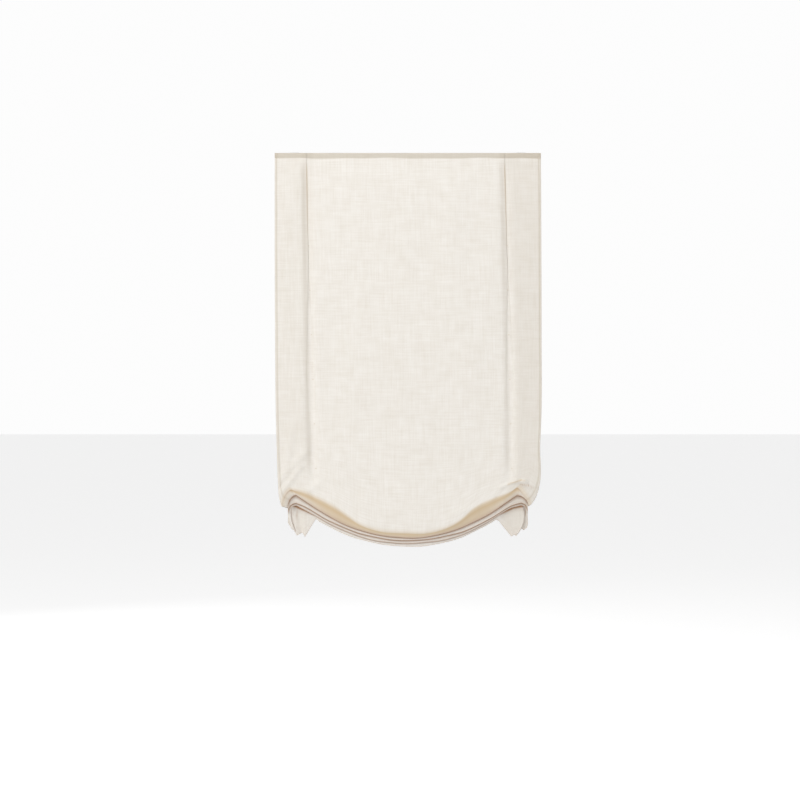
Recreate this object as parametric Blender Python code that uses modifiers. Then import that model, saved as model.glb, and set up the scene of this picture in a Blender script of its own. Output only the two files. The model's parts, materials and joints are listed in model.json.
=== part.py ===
# Relaxed roman shade with two inverted pleats, drawn part of the way up, on a cordless spring-lift headrail.
# Metres, +Z up. The room side faces -Y. The origin is on the plane that the two brackets are screwed to,
# midway along the shade, straight above the face of the cloth.

import math

import bmesh
import bpy
import numpy as np
from mathutils import Vector

# Cloth
CLOTH_WIDTH = 0.9144
CLOTH_THICKNESS = 0.0007
HEAD_GAP = 0.003
SIDE_HEM_WIDTH = 0.009
HEM_STEP = 0.0012
BOTTOM_HEM_DEPTH = 0.024
FOLD_TIP = 0.0009

# Inverted pleats, closed at the top and opening to a shallow trough lower down. An inset here and below is
# the distance in from the side edge of the cloth.
PLEAT_INSET = 0.1172
PLEAT_DEPTH = 0.020
PLEAT_STEP = 0.0012
PLEAT_SLIT = 0.0012
PLEAT_OPEN_HALF = 0.027
PLEAT_OPENS_FROM = 0.45
PLEAT_OPEN_BY = 1.02

# Rings: the first row hangs this far below the top edge, and the rest follow at one spacing
FIRST_RING_DROP = 0.3185
RING_SPACING = 0.153
PANEL_RING_ROWS = 6
RING_RADIUS = 0.0055
RING_WIRE = 0.0012

# Stack of folds at the bottom. The first upper fold is tied up this far below the last ring on the panel. The
# peaks of the lower edges are given as drops below that tie, and a sag is how much lower the middle hangs.
FOLD_COUNT = 3
LEG_STEP = 0.0042
PEAK_INSET = 0.0742
STACK_INSET = 0.0442
LOBE_INSET = 0.0322
PANEL_LOW_INSET = 0.0027
TIE_BELOW_PANEL_RINGS = 0.0665
TIE_STEP = 0.013
TIE_SAG = 0.124
TIE_MIDDLE_STEP = 0.0095
TIE_EAR_DROP = 0.025
FRONT_EDGE_BELOW_TIE = 0.0268
FRONT_EDGE_SAG = 0.145
BACK_EDGE_BELOW_TIE = 0.0543
BACK_EDGE_SAG = 0.1272
BACK_EDGE_STEP_MIDDLE = 0.0119
BACK_EDGE_STEP_PEAK = 0.0074
FRONT_EAR_DROP = 0.048
INNER_EAR_DROP = 0.038
BACK_EAR_DROP = 0.020
BELLY = 0.010
BELLY_AT_TIES = 0.004
BELLY_STATIONS = (0.35, 0.65, 0.88)
BELLY_KEPT_AT_TURN = 0.7
FRONT_TURN = 0.018

# Tails: the loose corners of the bottom hem, outside the lift cords. Each point is its inset and its drop
# below the tie of the first fold.
TAIL_START_INSET = 0.1452
TAIL_INNER_TIP = (0.1025, 0.1710)
TAIL_NOTCH = (0.0902, 0.1560)
TAIL_OUTER_TIP = (0.0737, 0.1653)
TAIL_SIDE = (0.0449, 0.1247)
TAIL_FOLD_DEPTH = 0.005

# Fit between neighbouring pieces
FIT = 0.0003
RUNNING_FIT = 0.0004

# Tape that holds the cloth to the headrail
TAPE_WIDTH = 0.018
TAPE_THICKNESS = 0.0016

# Headrail
RAIL_INSET = 0.0072
RAIL_DEPTH = 0.038
RAIL_HEIGHT = 0.031
RAIL_WALL = 0.001
RAIL_LIP = 0.005
CORD_SLOT_LENGTH = 0.012
CORD_SLOT_WIDTH = 0.005
CORD_SLOT_AHEAD = 0.0015
END_CAP_THICKNESS = 0.0025
END_CAP_PLUG = 0.008
END_CAP_BEVEL = 0.0008

# Brackets
BRACKET_INSET = 0.0672
BRACKET_WIDTH = 0.030
BRACKET_THICKNESS = 0.0012
BRACKET_HOOK = 0.0028
BRACKET_SCREW_HOLE = 0.0045
BRACKET_SCREW_SPACING = 0.014

# Lift shaft, spools and cradles
SHAFT_FROM_RAIL_FRONT = 0.0125
SHAFT_FROM_RAIL_TOP = 0.0150
SHAFT_ACROSS_FLATS = 0.006
SHAFT_OVERHANG = 0.006
CORD_DIAMETER = 0.0018
SPOOL_BARREL_RADIUS = 0.008
SPOOL_FLANGE_RADIUS = 0.011
SPOOL_FLANGE_WIDTH = 0.0015
SPOOL_BARREL_LENGTH = 0.028
JOURNAL_RADIUS = 0.005
WINDING_TURNS = 9
WINDING_PITCH = 0.78
WINDING_VALLEY = 0.72
CRADLE_WALL = 0.003
CRADLE_BASE = 0.002
CRADLE_DEPTH = 0.026
CRADLE_MOUTH = 0.0086

# Spring motor
MOTOR_DRUM_LENGTH = 0.030
MOTOR_AXIS_SPACING = 0.0155
OUTPUT_DRUM_RADIUS = 0.0045
OUTPUT_FLANGE_RADIUS = 0.0076
STORAGE_DRUM_RADIUS = 0.0035
STORAGE_FLANGE_RADIUS = 0.0072
STORAGE_JOURNAL_RADIUS = 0.0022
MOTOR_FLANGE_WIDTH = 0.0012
MOTOR_WALL = 0.003
MOTOR_COVER_THICKNESS = 0.0014
MOTOR_COVER_BEVEL = 0.0004
OUTPUT_SPRING_BUILD = 0.0009
STORAGE_SPRING_BUILD = 0.0022
SPRING_THICKNESS = 0.0006

# Spreader bar behind the stack
BAR_RADIUS = 0.004
BAR_CAP_WALL = 0.0012
BAR_CAP_GRIP = 0.012
BAR_EYE_WIDTH = 0.010
BAR_EYE_HEIGHT = 0.005
BAR_EYE_BEVEL = 0.002
CORD_BORE_RADIUS = 0.0013
ADJUSTER_RADIUS = 0.0050
ADJUSTER_END_RADIUS = 0.0035
ADJUSTER_LENGTH = 0.011
ADJUSTER_SHOULDER = 0.0022
ADJUSTER_FOOT = 0.00165

ROUND_STEPS = 20
CORD_POINTS = 22

# Places that follow from the sizes above
half_width = CLOTH_WIDTH / 2
pleat_x = half_width - PLEAT_INSET
peak_x = half_width - PEAK_INSET
stack_half = half_width - STACK_INSET
lobe_half = half_width - LOBE_INSET
panel_low_half = half_width - PANEL_LOW_INSET
tail_start_x = half_width - TAIL_START_INSET
rail_half = half_width - RAIL_INSET
bracket_x = half_width - BRACKET_INSET
cloth_top = -HEAD_GAP
pleat_back = 2 * PLEAT_STEP + CLOTH_THICKNESS / 2
loop_front = pleat_back + FIT
hook_front = loop_front + TAPE_THICKNESS + FIT
rail_front = hook_front + TAPE_THICKNESS + FIT
rail_back = rail_front + RAIL_DEPTH
rail_top = -(BRACKET_THICKNESS + FIT)
rail_bottom = rail_top - RAIL_HEIGHT
shaft_y = rail_front + SHAFT_FROM_RAIL_FRONT
shaft_z = rail_top - SHAFT_FROM_RAIL_TOP
shaft_radius = SHAFT_ACROSS_FLATS / 2 / math.cos(math.pi / 6)
spool_half = SPOOL_BARREL_LENGTH / 2 + SPOOL_FLANGE_WIDTH
cradle_half = spool_half + RUNNING_FIT + CRADLE_WALL
motor_half = MOTOR_DRUM_LENGTH / 2 + MOTOR_FLANGE_WIDTH + RUNNING_FIT + MOTOR_WALL
storage_y = shaft_y + MOTOR_AXIS_SPACING
cord_radius = CORD_DIAMETER / 2
cord_wrap_radius = SPOOL_BARREL_RADIUS + FIT + cord_radius
ring_reach = RING_RADIUS + RING_WIRE
ring_y = pleat_back + FIT + ring_reach
ring_stand_off = CLOTH_THICKNESS / 2 + FIT + ring_reach
tie_slope = math.atan2(2 * LEG_STEP, TIE_STEP)
panel_end = FIRST_RING_DROP + (PANEL_RING_ROWS - 1) * RING_SPACING
first_tie_drop = panel_end + TIE_BELOW_PANEL_RINGS
front_edge_peak = first_tie_drop + FRONT_EDGE_BELOW_TIE
front_edge_middle = front_edge_peak + FRONT_EDGE_SAG
back_edge_peak = first_tie_drop + BACK_EDGE_BELOW_TIE
back_edge_middle = back_edge_peak + BACK_EDGE_SAG
last_leg_y = 2 * FOLD_COUNT * LEG_STEP


def clear_scene():
    for old in list(bpy.data.objects):
        bpy.data.objects.remove(old, do_unlink=True)


def new_collection(name):
    collection = bpy.data.collections.new(name)
    bpy.context.scene.collection.children.link(collection)
    return collection


def new_material(name, color, roughness, metallic=0.0):
    material = bpy.data.materials.new(name)
    material.use_nodes = True
    shader = material.node_tree.nodes["Principled BSDF"]
    shader.inputs["Base Color"].default_value = (*color, 1)
    shader.inputs["Roughness"].default_value = roughness
    shader.inputs["Metallic"].default_value = metallic
    return material


clear_scene()
parts = new_collection("roman_shade")
cutters = new_collection("cutters")
materials = {
    "linen": new_material("ivory_linen", (0.86, 0.81, 0.72), 0.9),
    "tape": new_material("white_tape", (0.80, 0.79, 0.76), 0.85),
    "painted": new_material("white_painted_metal", (0.82, 0.82, 0.80), 0.35),
    "plastic": new_material("white_plastic", (0.84, 0.84, 0.82), 0.45),
    "clear": new_material("milky_plastic", (0.78, 0.78, 0.75), 0.35),
    "steel": new_material("bright_steel", (0.62, 0.63, 0.64), 0.30, 1.0),
    "spring": new_material("blue_spring_steel", (0.35, 0.37, 0.42), 0.28, 1.0),
    "cord": new_material("white_braid", (0.88, 0.87, 0.84), 0.8),
}


def place(obj, material=None, cutter=False):
    """Puts an object in the part's collection with its material, or among the cutters."""
    for collection in list(obj.users_collection):
        collection.objects.unlink(obj)
    (cutters if cutter else parts).objects.link(obj)
    if cutter:
        obj.hide_render = True
        obj.display_type = "WIRE"
    if material:
        obj.data.materials.clear()
        obj.data.materials.append(materials[material])
    return obj


def box(name, low, high, material=None, cutter=False, bevel=0.0):
    """A block between two corners."""
    mesh = bpy.data.meshes.new(name)
    shape = bmesh.new()
    bmesh.ops.create_cube(shape, size=1)
    size = Vector(high) - Vector(low)
    middle = (Vector(high) + Vector(low)) / 2
    bmesh.ops.scale(shape, vec=size, verts=shape.verts)
    shape.to_mesh(mesh)
    shape.free()
    obj = bpy.data.objects.new(name, mesh)
    obj.location = middle
    if bevel:
        edge = obj.modifiers.new("edge", "BEVEL")
        edge.width = bevel
        edge.segments = 1
    return place(obj, material, cutter)


def turned(name, profile, location, material=None, cutter=False, steps=ROUND_STEPS, along="X"):
    """A profile of (radius, distance along the axis), outer side first, turned round the X or Z axis."""
    mesh = bpy.data.meshes.new(name)
    points = [(radius, 0, height) for radius, height in profile]
    edges = [(index, index + 1) for index in range(len(points) - 1)]
    if profile[0][0] > 0:
        edges.append((len(points) - 1, 0))
    mesh.from_pydata(points, edges, [])
    obj = bpy.data.objects.new(name, mesh)
    turn = obj.modifiers.new("turn", "SCREW")
    turn.steps = steps
    turn.render_steps = steps
    turn.use_merge_vertices = True
    turn.merge_threshold = 0.00001
    turn.use_smooth_shade = True
    obj.location = location
    if along == "X":
        obj.rotation_euler = (0, math.pi / 2, 0)
    return place(obj, material, cutter)


def ring_profile(outer, inner, half):
    return [(outer, half), (outer, -half), (inner, -half), (inner, half)]


def disc_profile(radius, half):
    return [(0, half), (radius, half), (radius, -half), (0, -half)]


def prism(name, outline, low_x, high_x, material=None, cutter=False, origin=(0, 0)):
    """A closed (y, z) outline, filled and extruded along X. The origin is a (y, z) point."""
    mesh = bpy.data.meshes.new(name)
    shape = bmesh.new()
    corners = [shape.verts.new((low_x, y - origin[0], z - origin[1])) for y, z in outline]
    sides = [shape.edges.new(pair) for pair in zip(corners, corners[1:] + corners[:1])]
    bmesh.ops.contextual_create(shape, geom=sides)
    sweep = bmesh.ops.extrude_face_region(shape, geom=shape.faces[:], use_keep_orig=True)
    moved = [item for item in sweep["geom"] if isinstance(item, bmesh.types.BMVert)]
    bmesh.ops.translate(shape, verts=moved, vec=(high_x - low_x, 0, 0))
    bmesh.ops.recalc_face_normals(shape, faces=shape.faces)
    shape.to_mesh(mesh)
    shape.free()
    obj = bpy.data.objects.new(name, mesh)
    obj.location = (0, origin[0], origin[1])
    return place(obj, material, cutter)


def combine(obj, other, operation):
    change = obj.modifiers.new(operation.lower() + "_" + other.name, "BOOLEAN")
    change.operation = operation
    change.object = other
    change.solver = "EXACT"


def arc(center, radius, start, end, count):
    """Points on a circle in the (y, z) plane, angles in degrees from +Y towards +Z."""
    angles = np.radians(np.linspace(start, end, count))
    return [(center[0] + radius * math.cos(a), center[1] + radius * math.sin(a)) for a in angles]


def smooth(value):
    value = np.clip(value, 0.0, 1.0)
    return value * value * (3 - 2 * value)


# The cloth


def outer_stations():
    """Distances across the flat cloth of the lift cord in the stack, of both peaks, and of points between."""
    at_tie = pleat_x * half_width / stack_half
    at_front_peak = peak_x * half_width / lobe_half
    at_peak = peak_x * half_width / stack_half
    return [at_tie, (at_tie + at_front_peak) / 2, at_front_peak, at_peak, (at_peak + half_width) / 2]


def cloth_columns():
    """Stations across the right half: distance from the middle when pleated and when open, and depth."""
    open_start = pleat_x - PLEAT_OPEN_HALF
    middle = [(d, d, 0.0) for d in np.linspace(0, open_start - 0.012, 6)]
    lip = PLEAT_SLIT / 2
    pleat = [
        (pleat_x - lip - FOLD_TIP, 0.0),
        (pleat_x - lip, 0.5),
        (pleat_x - lip - FOLD_TIP, 1.0),
        (pleat_x - PLEAT_DEPTH, 1.0),
        (pleat_x - PLEAT_DEPTH, 2.0),
        (pleat_x, 2.0),
        (pleat_x + PLEAT_DEPTH, 2.0),
        (pleat_x + PLEAT_DEPTH, 1.0),
        (pleat_x + lip + FOLD_TIP, 1.0),
        (pleat_x + lip, 0.5),
        (pleat_x + lip + FOLD_TIP, 0.0),
    ]
    opened = np.linspace(open_start, pleat_x + PLEAT_OPEN_HALF, len(pleat))
    pleats = [(folded, flat, layer * PLEAT_STEP) for (folded, layer), flat in zip(pleat, opened)]
    outer = [(d, d, 0.0) for d in outer_stations()]
    hem = [
        (half_width - FOLD_TIP, half_width - FOLD_TIP, 0.0),
        (half_width, half_width, 0.5 * HEM_STEP),
        (half_width - FOLD_TIP, half_width - FOLD_TIP, HEM_STEP),
        (half_width - SIDE_HEM_WIDTH, half_width - SIDE_HEM_WIDTH, HEM_STEP),
    ]
    return np.array(middle + pleats + outer + hem)


def edge_drop(x, middle, peak, ear, half):
    """Drop of a lower fold edge: a parabola up to the peak, then a quarter round down over the ear."""
    inside = middle + (peak - middle) * np.clip(x / peak_x, 0, 1) ** 2
    beyond = np.clip((x - peak_x) / (half - peak_x), 0, 1)
    return inside + ear * (1 - np.sqrt(1 - beyond**2))


def tie_drop(x, row):
    """Drop of an upper fold edge, level at the lift cord and sagging between the cords."""
    tie = first_tie_drop + row * TIE_STEP
    middle = first_tie_drop + TIE_SAG + row * TIE_MIDDLE_STEP
    inside = middle + (tie - middle) * np.clip(x / pleat_x, 0, 1) ** 2
    beyond = np.clip((x - peak_x) / (stack_half - peak_x), 0, 1)
    return inside + TIE_EAR_DROP * beyond


def cloth_rows(columns):
    """Stations down the cloth. Each row holds x, y, drop and depth behind the face for every column."""
    folded, flat, depth = columns.T
    share = flat / half_width
    rows = []

    def add(x, y, drop, behind):
        rows.append(np.broadcast_arrays(x, y, drop, behind, folded)[:4])

    ring_drops = FIRST_RING_DROP + RING_SPACING * np.arange(PANEL_RING_ROWS)
    for drop in [0.0, TAPE_WIDTH, *ring_drops]:
        opening = smooth((drop - PLEAT_OPENS_FROM) / (PLEAT_OPEN_BY - PLEAT_OPENS_FROM))
        narrowing = half_width + (panel_low_half - half_width) * smooth(drop / panel_end)
        across = folded + (flat - folded) * opening
        add(across * narrowing / half_width, 0.0, drop, depth)

    front_x = share * lobe_half
    front_edge = edge_drop(front_x, front_edge_middle, front_edge_peak, FRONT_EAR_DROP, lobe_half)
    side_hem = depth * (flat > pleat_x + PLEAT_OPEN_HALF + 0.001)
    belly = BELLY_AT_TIES + (BELLY - BELLY_AT_TIES) * (1 - np.clip(front_x / pleat_x, 0, 1) ** 4)
    turn_start = front_edge - FRONT_TURN
    for part in BELLY_STATIONS:
        drop = panel_end + (turn_start - panel_end) * part
        x = share * (panel_low_half + (lobe_half - panel_low_half) * part**2)
        keep = 1 - smooth(part / 0.8)
        behind = side_hem + (depth - side_hem) * keep
        add(x, -belly * math.sin(math.pi * min(part, 0.75) / 1.5), drop, behind)

    x = share * stack_half
    radius = LEG_STEP / 2
    add(front_x, -belly * BELLY_KEPT_AT_TURN, turn_start, side_hem)
    add((front_x + x) / 2, 0.0, front_edge, side_hem)
    lower = edge_drop(x, front_edge_middle, front_edge_peak, INNER_EAR_DROP, stack_half) - radius
    add(x, LEG_STEP, lower, side_hem)
    for fold in range(FOLD_COUNT):
        leg = (2 * fold + 1) * LEG_STEP
        upper = tie_drop(x, fold)
        add(x, leg, (lower + upper) / 2, side_hem)
        add(x, leg, upper + radius, side_hem)
        add(x, leg + radius, upper, side_hem)
        add(x, leg + LEG_STEP, upper + radius, side_hem)
        if fold == FOLD_COUNT - 1:
            break
        middle = back_edge_middle + fold * BACK_EDGE_STEP_MIDDLE
        peak = back_edge_peak + fold * BACK_EDGE_STEP_PEAK
        lower = edge_drop(x, middle, peak, BACK_EAR_DROP, stack_half)
        add(x, leg + LEG_STEP, (lower + upper) / 2, side_hem)
        add(x, leg + LEG_STEP, lower - radius, side_hem)
        add(x, leg + 1.5 * LEG_STEP, lower, side_hem)
        add(x, leg + 2 * LEG_STEP, lower - radius, side_hem)

    hem_x, hem_drop, hem_wave = tail_edge(share, x)
    turn = 3 * HEM_STEP
    hem_top = (hem_drop - BOTTOM_HEM_DEPTH - upper) / (hem_drop - upper)
    for part, behind in (
        (hem_top * 0.5, side_hem),
        (hem_top, side_hem),
        (1 - turn / 2 / (hem_drop - upper), side_hem),
        (1 - side_hem / (hem_drop - upper), turn / 2),
        (1 - turn / 2 / (hem_drop - upper), turn - side_hem),
        (hem_top, turn - side_hem),
    ):
        blend = smooth(part)
        wave = hem_wave * part**2
        add(x + (hem_x - x) * blend, last_leg_y + wave, upper + (hem_drop - upper) * part, behind)
    return [np.array([row[index] for row in rows]) for index in range(4)]


def tail_edge(share, x):
    """The bottom hem: it follows the swag between the cords, and hangs in folded points outside them."""
    swag_middle = back_edge_middle + (FOLD_COUNT - 1) * BACK_EDGE_STEP_MIDDLE
    swag_peak = back_edge_peak + (FOLD_COUNT - 1) * BACK_EDGE_STEP_PEAK
    start = tail_start_x / stack_half
    start_drop = edge_drop(np.array(tail_start_x), swag_middle, swag_peak, 0.0, stack_half)
    spots = [start, *(station / half_width for station in outer_stations()[:3]), 1.0]
    points = [TAIL_INNER_TIP, TAIL_NOTCH, TAIL_OUTER_TIP, TAIL_SIDE]
    tail_x = np.interp(share, spots, [tail_start_x] + [half_width - inset for inset, _ in points])
    tail_drop = np.interp(share, spots, [float(start_drop)] + [first_tie_drop + drop for _, drop in points])
    wave = np.interp(share, spots, [0.0, -0.4, 1.0, -0.4, 0.8]) * TAIL_FOLD_DEPTH
    inside = share < start
    hem_x = np.where(inside, x, tail_x)
    hem_drop = np.where(inside, edge_drop(x, swag_middle, swag_peak, 0.0, stack_half), tail_drop)
    return hem_x, hem_drop, np.where(inside, 0.0, wave)


def make_cloth():
    """One sheet: face, inverted pleats, side hems, the stack of folds, and the hem with its tails."""
    columns = cloth_columns()
    x, y, drop, behind = cloth_rows(columns)
    z = cloth_top - drop
    along_y = np.gradient(y, axis=0)
    along_z = np.gradient(z, axis=0)
    length = np.hypot(along_y, along_z)
    hem_rows = 6
    length = np.maximum(length, FIT / 10)
    normal_y = -along_z / length
    normal_z = along_y / length
    normal_y[-hem_rows:] = 1.0
    normal_z[-hem_rows:] = 0.0
    y = y + behind * normal_y
    z = z + behind * normal_z
    x = np.concatenate([-x[:, :0:-1], x], axis=1)
    y = np.concatenate([y[:, :0:-1], y], axis=1)
    z = np.concatenate([z[:, :0:-1], z], axis=1)
    row_count, column_count = x.shape
    mesh = bpy.data.meshes.new("shade_fabric")
    shape = bmesh.new()
    bmesh.ops.create_grid(shape, x_segments=column_count - 1, y_segments=row_count - 1, size=1)
    shape.verts.ensure_lookup_table()
    ordered = sorted(shape.verts, key=lambda vert: (-round(vert.co.y, 5), round(vert.co.x, 5)))
    for vert, place_x, place_y, place_z in zip(ordered, x.ravel(), y.ravel(), z.ravel()):
        vert.co = (place_x, place_y, place_z)
    shape.to_mesh(mesh)
    shape.free()
    mesh.shade_smooth()
    obj = bpy.data.objects.new("shade_fabric", mesh)
    wall = obj.modifiers.new("cloth", "SOLIDIFY")
    wall.thickness = CLOTH_THICKNESS
    wall.offset = 0
    return place(obj, "linen")


def make_tapes():
    """The sewn loop strip on the cloth and the stuck-on hook strip on the headrail."""
    low = cloth_top - TAPE_WIDTH
    for name, front in (("loop_tape", loop_front), ("hook_tape", hook_front)):
        box(name, (-rail_half, front, low), (rail_half, front + TAPE_THICKNESS, cloth_top), "tape")


# The headrail and what hangs it


def rail_outline():
    """A channel open at the top, with its two edges turned inwards."""
    inner_front = rail_front + RAIL_WALL
    inner_back = rail_back - RAIL_WALL
    return [
        (rail_front + RAIL_LIP, rail_top),
        (rail_front, rail_top),
        (rail_front, rail_bottom),
        (rail_back, rail_bottom),
        (rail_back, rail_top),
        (rail_back - RAIL_LIP, rail_top),
        (rail_back - RAIL_LIP, rail_top - RAIL_WALL),
        (inner_back, rail_top - RAIL_WALL),
        (inner_back, rail_bottom + RAIL_WALL),
        (inner_front, rail_bottom + RAIL_WALL),
        (inner_front, rail_top - RAIL_WALL),
        (rail_front + RAIL_LIP, rail_top - RAIL_WALL),
    ]


def make_rail():
    rail = prism("headrail", rail_outline(), -rail_half, rail_half, "painted")
    slot_front = shaft_y - cord_wrap_radius - CORD_SLOT_AHEAD
    half = CORD_SLOT_LENGTH / 2
    for side, name in ((-1, "left"), (1, "right")):
        middle = side * pleat_x
        slot = box(
            "cord_slot_" + name,
            (middle - half, slot_front, rail_bottom - RAIL_WALL),
            (middle + half, slot_front + CORD_SLOT_WIDTH, rail_bottom + 2 * RAIL_WALL),
            cutter=True,
        )
        combine(rail, slot, "DIFFERENCE")


def make_end_caps():
    """Each cap covers the rail's end, with a hollow plug that fits inside the channel."""
    inset = RAIL_WALL + FIT
    wall = 2 * RAIL_WALL
    for side, name in ((-1, "left"), (1, "right")):
        inner = side * (rail_half + FIT)
        outer = inner + side * END_CAP_THICKNESS
        tip = side * (rail_half - END_CAP_PLUG)
        cover = (min(inner, outer), rail_front, rail_bottom), (max(inner, outer), rail_back, rail_top)
        cap = box("end_cap_" + name, *cover, "plastic", bevel=END_CAP_BEVEL)
        root = inner + side * END_CAP_THICKNESS / 2
        plug_outline = [
            (rail_front + inset, rail_top - inset),
            (rail_front + inset, rail_bottom + inset),
            (rail_back - inset, rail_bottom + inset),
            (rail_back - inset, rail_top - inset),
            (rail_back - inset - wall, rail_top - inset),
            (rail_back - inset - wall, rail_bottom + inset + wall),
            (rail_front + inset + wall, rail_bottom + inset + wall),
            (rail_front + inset + wall, rail_top - inset),
        ]
        plug = prism("cap_plug_" + name, plug_outline, min(tip, root), max(tip, root), cutter=True)
        combine(cap, plug, "UNION")


def make_brackets():
    """A steel plate screwed to the window head, with two hooks that reach in under the rail's lips."""
    lip_gap = RAIL_LIP + FIT
    lip_under = rail_top - RAIL_WALL - FIT
    hook_low = lip_under - BRACKET_THICKNESS
    front = rail_front + lip_gap
    back = rail_back - lip_gap
    thick = BRACKET_THICKNESS
    outline = [
        (rail_front + RAIL_WALL, 0.0),
        (rail_front + RAIL_WALL, -thick),
        (front, -thick),
        (front, lip_under),
        (front - BRACKET_HOOK, lip_under),
        (front - BRACKET_HOOK, hook_low),
        (front + thick, hook_low),
        (front + thick, -thick),
        (back - thick, -thick),
        (back - thick, hook_low),
        (back + BRACKET_HOOK, hook_low),
        (back + BRACKET_HOOK, lip_under),
        (back, lip_under),
        (back, -thick),
        (rail_back - RAIL_WALL, -thick),
        (rail_back - RAIL_WALL, 0.0),
    ]
    middle_y = (rail_front + rail_back) / 2
    for side, name in ((-1, "left"), (1, "right")):
        middle = side * bracket_x
        low, high = middle - BRACKET_WIDTH / 2, middle + BRACKET_WIDTH / 2
        bracket = prism("bracket_" + name, outline, low, high, "painted")
        for index, step in enumerate((-0.5, 0.5)):
            hole = turned(
                f"screw_hole_{name}_{index}",
                disc_profile(BRACKET_SCREW_HOLE / 2, 2 * thick),
                (middle + step * BRACKET_SCREW_SPACING, middle_y, -thick / 2),
                cutter=True,
                steps=12,
                along="Z",
            )
            combine(bracket, hole, "DIFFERENCE")


# Lift shaft, spools, and the cradles that carry them


def saddle_outline(center, hole_radius, low, high, depth_low, depth_high, mouth):
    """An upright wall with a round seat that the journal snaps into from above."""
    open_angle = math.degrees(math.asin(mouth / 2 / hole_radius))
    seat = arc(center, hole_radius, 90 - open_angle, -270 + open_angle, 15)
    return [
        (depth_low, high),
        (depth_low, low),
        (depth_high, low),
        (depth_high, high),
        (center[0] + mouth / 2, high),
        *seat,
        (center[0] - mouth / 2, high),
    ]


def make_cradles():
    floor = rail_bottom + RAIL_WALL + FIT
    depth_low = rail_front + RAIL_WALL + FIT
    depth_high = depth_low + CRADLE_DEPTH
    wall_top = rail_top - RAIL_WALL - 4 * FIT
    seat_radius = (JOURNAL_RADIUS + RUNNING_FIT) / math.cos(math.pi / ROUND_STEPS)
    outline = saddle_outline(
        (shaft_y, shaft_z), seat_radius, floor, wall_top, depth_low, depth_high, CRADLE_MOUTH
    )
    cord_y = shaft_y - cord_wrap_radius
    for side, name in ((-1, "left"), (1, "right")):
        middle = side * pleat_x
        low, high = middle - cradle_half, middle + cradle_half
        base = box(
            "cradle_base_" + name,
            (low + CRADLE_WALL / 2, depth_low, floor),
            (high - CRADLE_WALL / 2, depth_high, floor + CRADLE_BASE),
            cutter=True,
        )
        cradle = prism("spool_cradle_" + name, outline, low, low + CRADLE_WALL, "plastic")
        far_wall = prism("cradle_wall_" + name, outline, high - CRADLE_WALL, high, cutter=True)
        exit_notch = box(
            "cradle_notch_" + name,
            (middle - CORD_SLOT_WIDTH / 2, depth_low - FIT, floor - RAIL_WALL),
            (middle + CORD_SLOT_WIDTH / 2, cord_y + CORD_SLOT_WIDTH / 2, floor + 2 * CRADLE_BASE),
            cutter=True,
        )
        combine(cradle, base, "UNION")
        combine(cradle, far_wall, "UNION")
        combine(cradle, exit_notch, "DIFFERENCE")


def hex_outline(radius):
    return [(radius * math.cos(a), radius * math.sin(a)) for a in np.radians(np.arange(6) * 60 + 30)]


def make_shaft():
    half = pleat_x + cradle_half + SHAFT_OVERHANG
    outline = [(shaft_y + y, shaft_z + z) for y, z in hex_outline(shaft_radius)]
    prism("lift_shaft", outline, -half, half, "steel", origin=(shaft_y, shaft_z))


def spool_profile():
    """Barrel between two flanges, with a journal on each end that turns in the cradle."""
    barrel = SPOOL_BARREL_LENGTH / 2
    bore = shaft_radius + FIT
    end = cradle_half + 2 * FIT
    return [
        (bore, end),
        (JOURNAL_RADIUS, end),
        (JOURNAL_RADIUS, spool_half),
        (SPOOL_FLANGE_RADIUS, spool_half),
        (SPOOL_FLANGE_RADIUS, barrel),
        (SPOOL_BARREL_RADIUS, barrel),
        (SPOOL_BARREL_RADIUS, -barrel),
        (SPOOL_FLANGE_RADIUS, -barrel),
        (SPOOL_FLANGE_RADIUS, -spool_half),
        (JOURNAL_RADIUS, -spool_half),
        (JOURNAL_RADIUS, -end),
        (bore, -end),
    ]


def winding_profile(turns):
    """One layer of cord laid turn by turn on the barrel, starting beside the run that leaves it."""
    inner = SPOOL_BARREL_RADIUS + FIT
    crown = inner + CORD_DIAMETER
    valley = inner + WINDING_VALLEY * CORD_DIAMETER
    pitch = WINDING_PITCH * CORD_DIAMETER
    start = cord_radius + FIT
    points = []
    for turn in range(turns - 1, -1, -1):
        middle = start + (turn + 0.5) * pitch
        points.append((valley, middle + pitch / 2))
        points.append((crown, middle))
    points.append((valley, start))
    return points + [(inner, start), (inner, points[0][1])]


def make_spools():
    for side, name in ((-1, "left"), (1, "right")):
        spot = (side * pleat_x, shaft_y, shaft_z)
        turned("cord_spool_" + name, spool_profile(), spot, "plastic")
        turned("cord_winding_" + name, winding_profile(WINDING_TURNS), spot, "cord", steps=12)


# Spring motor in the middle of the rail


def flanged_drum(barrel, flange, journal, bore, end):
    """A barrel between two flanges, with a journal at each end."""
    half = MOTOR_DRUM_LENGTH / 2
    rim = half + MOTOR_FLANGE_WIDTH
    return [
        (bore, end),
        (journal, end),
        (journal, rim),
        (flange, rim),
        (flange, half),
        (barrel, half),
        (barrel, -half),
        (flange, -half),
        (flange, -rim),
        (journal, -rim),
        (journal, -end),
        (bore, -end),
    ]


def make_motor():
    end = motor_half + FIT
    bore = shaft_radius + FIT
    output = flanged_drum(OUTPUT_DRUM_RADIUS, OUTPUT_FLANGE_RADIUS, OUTPUT_DRUM_RADIUS, bore, end)
    turned("output_drum", output, (0, shaft_y, shaft_z), "plastic")
    storage = flanged_drum(STORAGE_DRUM_RADIUS, STORAGE_FLANGE_RADIUS, STORAGE_JOURNAL_RADIUS, 0.0, end)
    turned("storage_drum", storage, (0, storage_y, shaft_z), "plastic")
    make_motor_case()
    make_spring()


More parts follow.
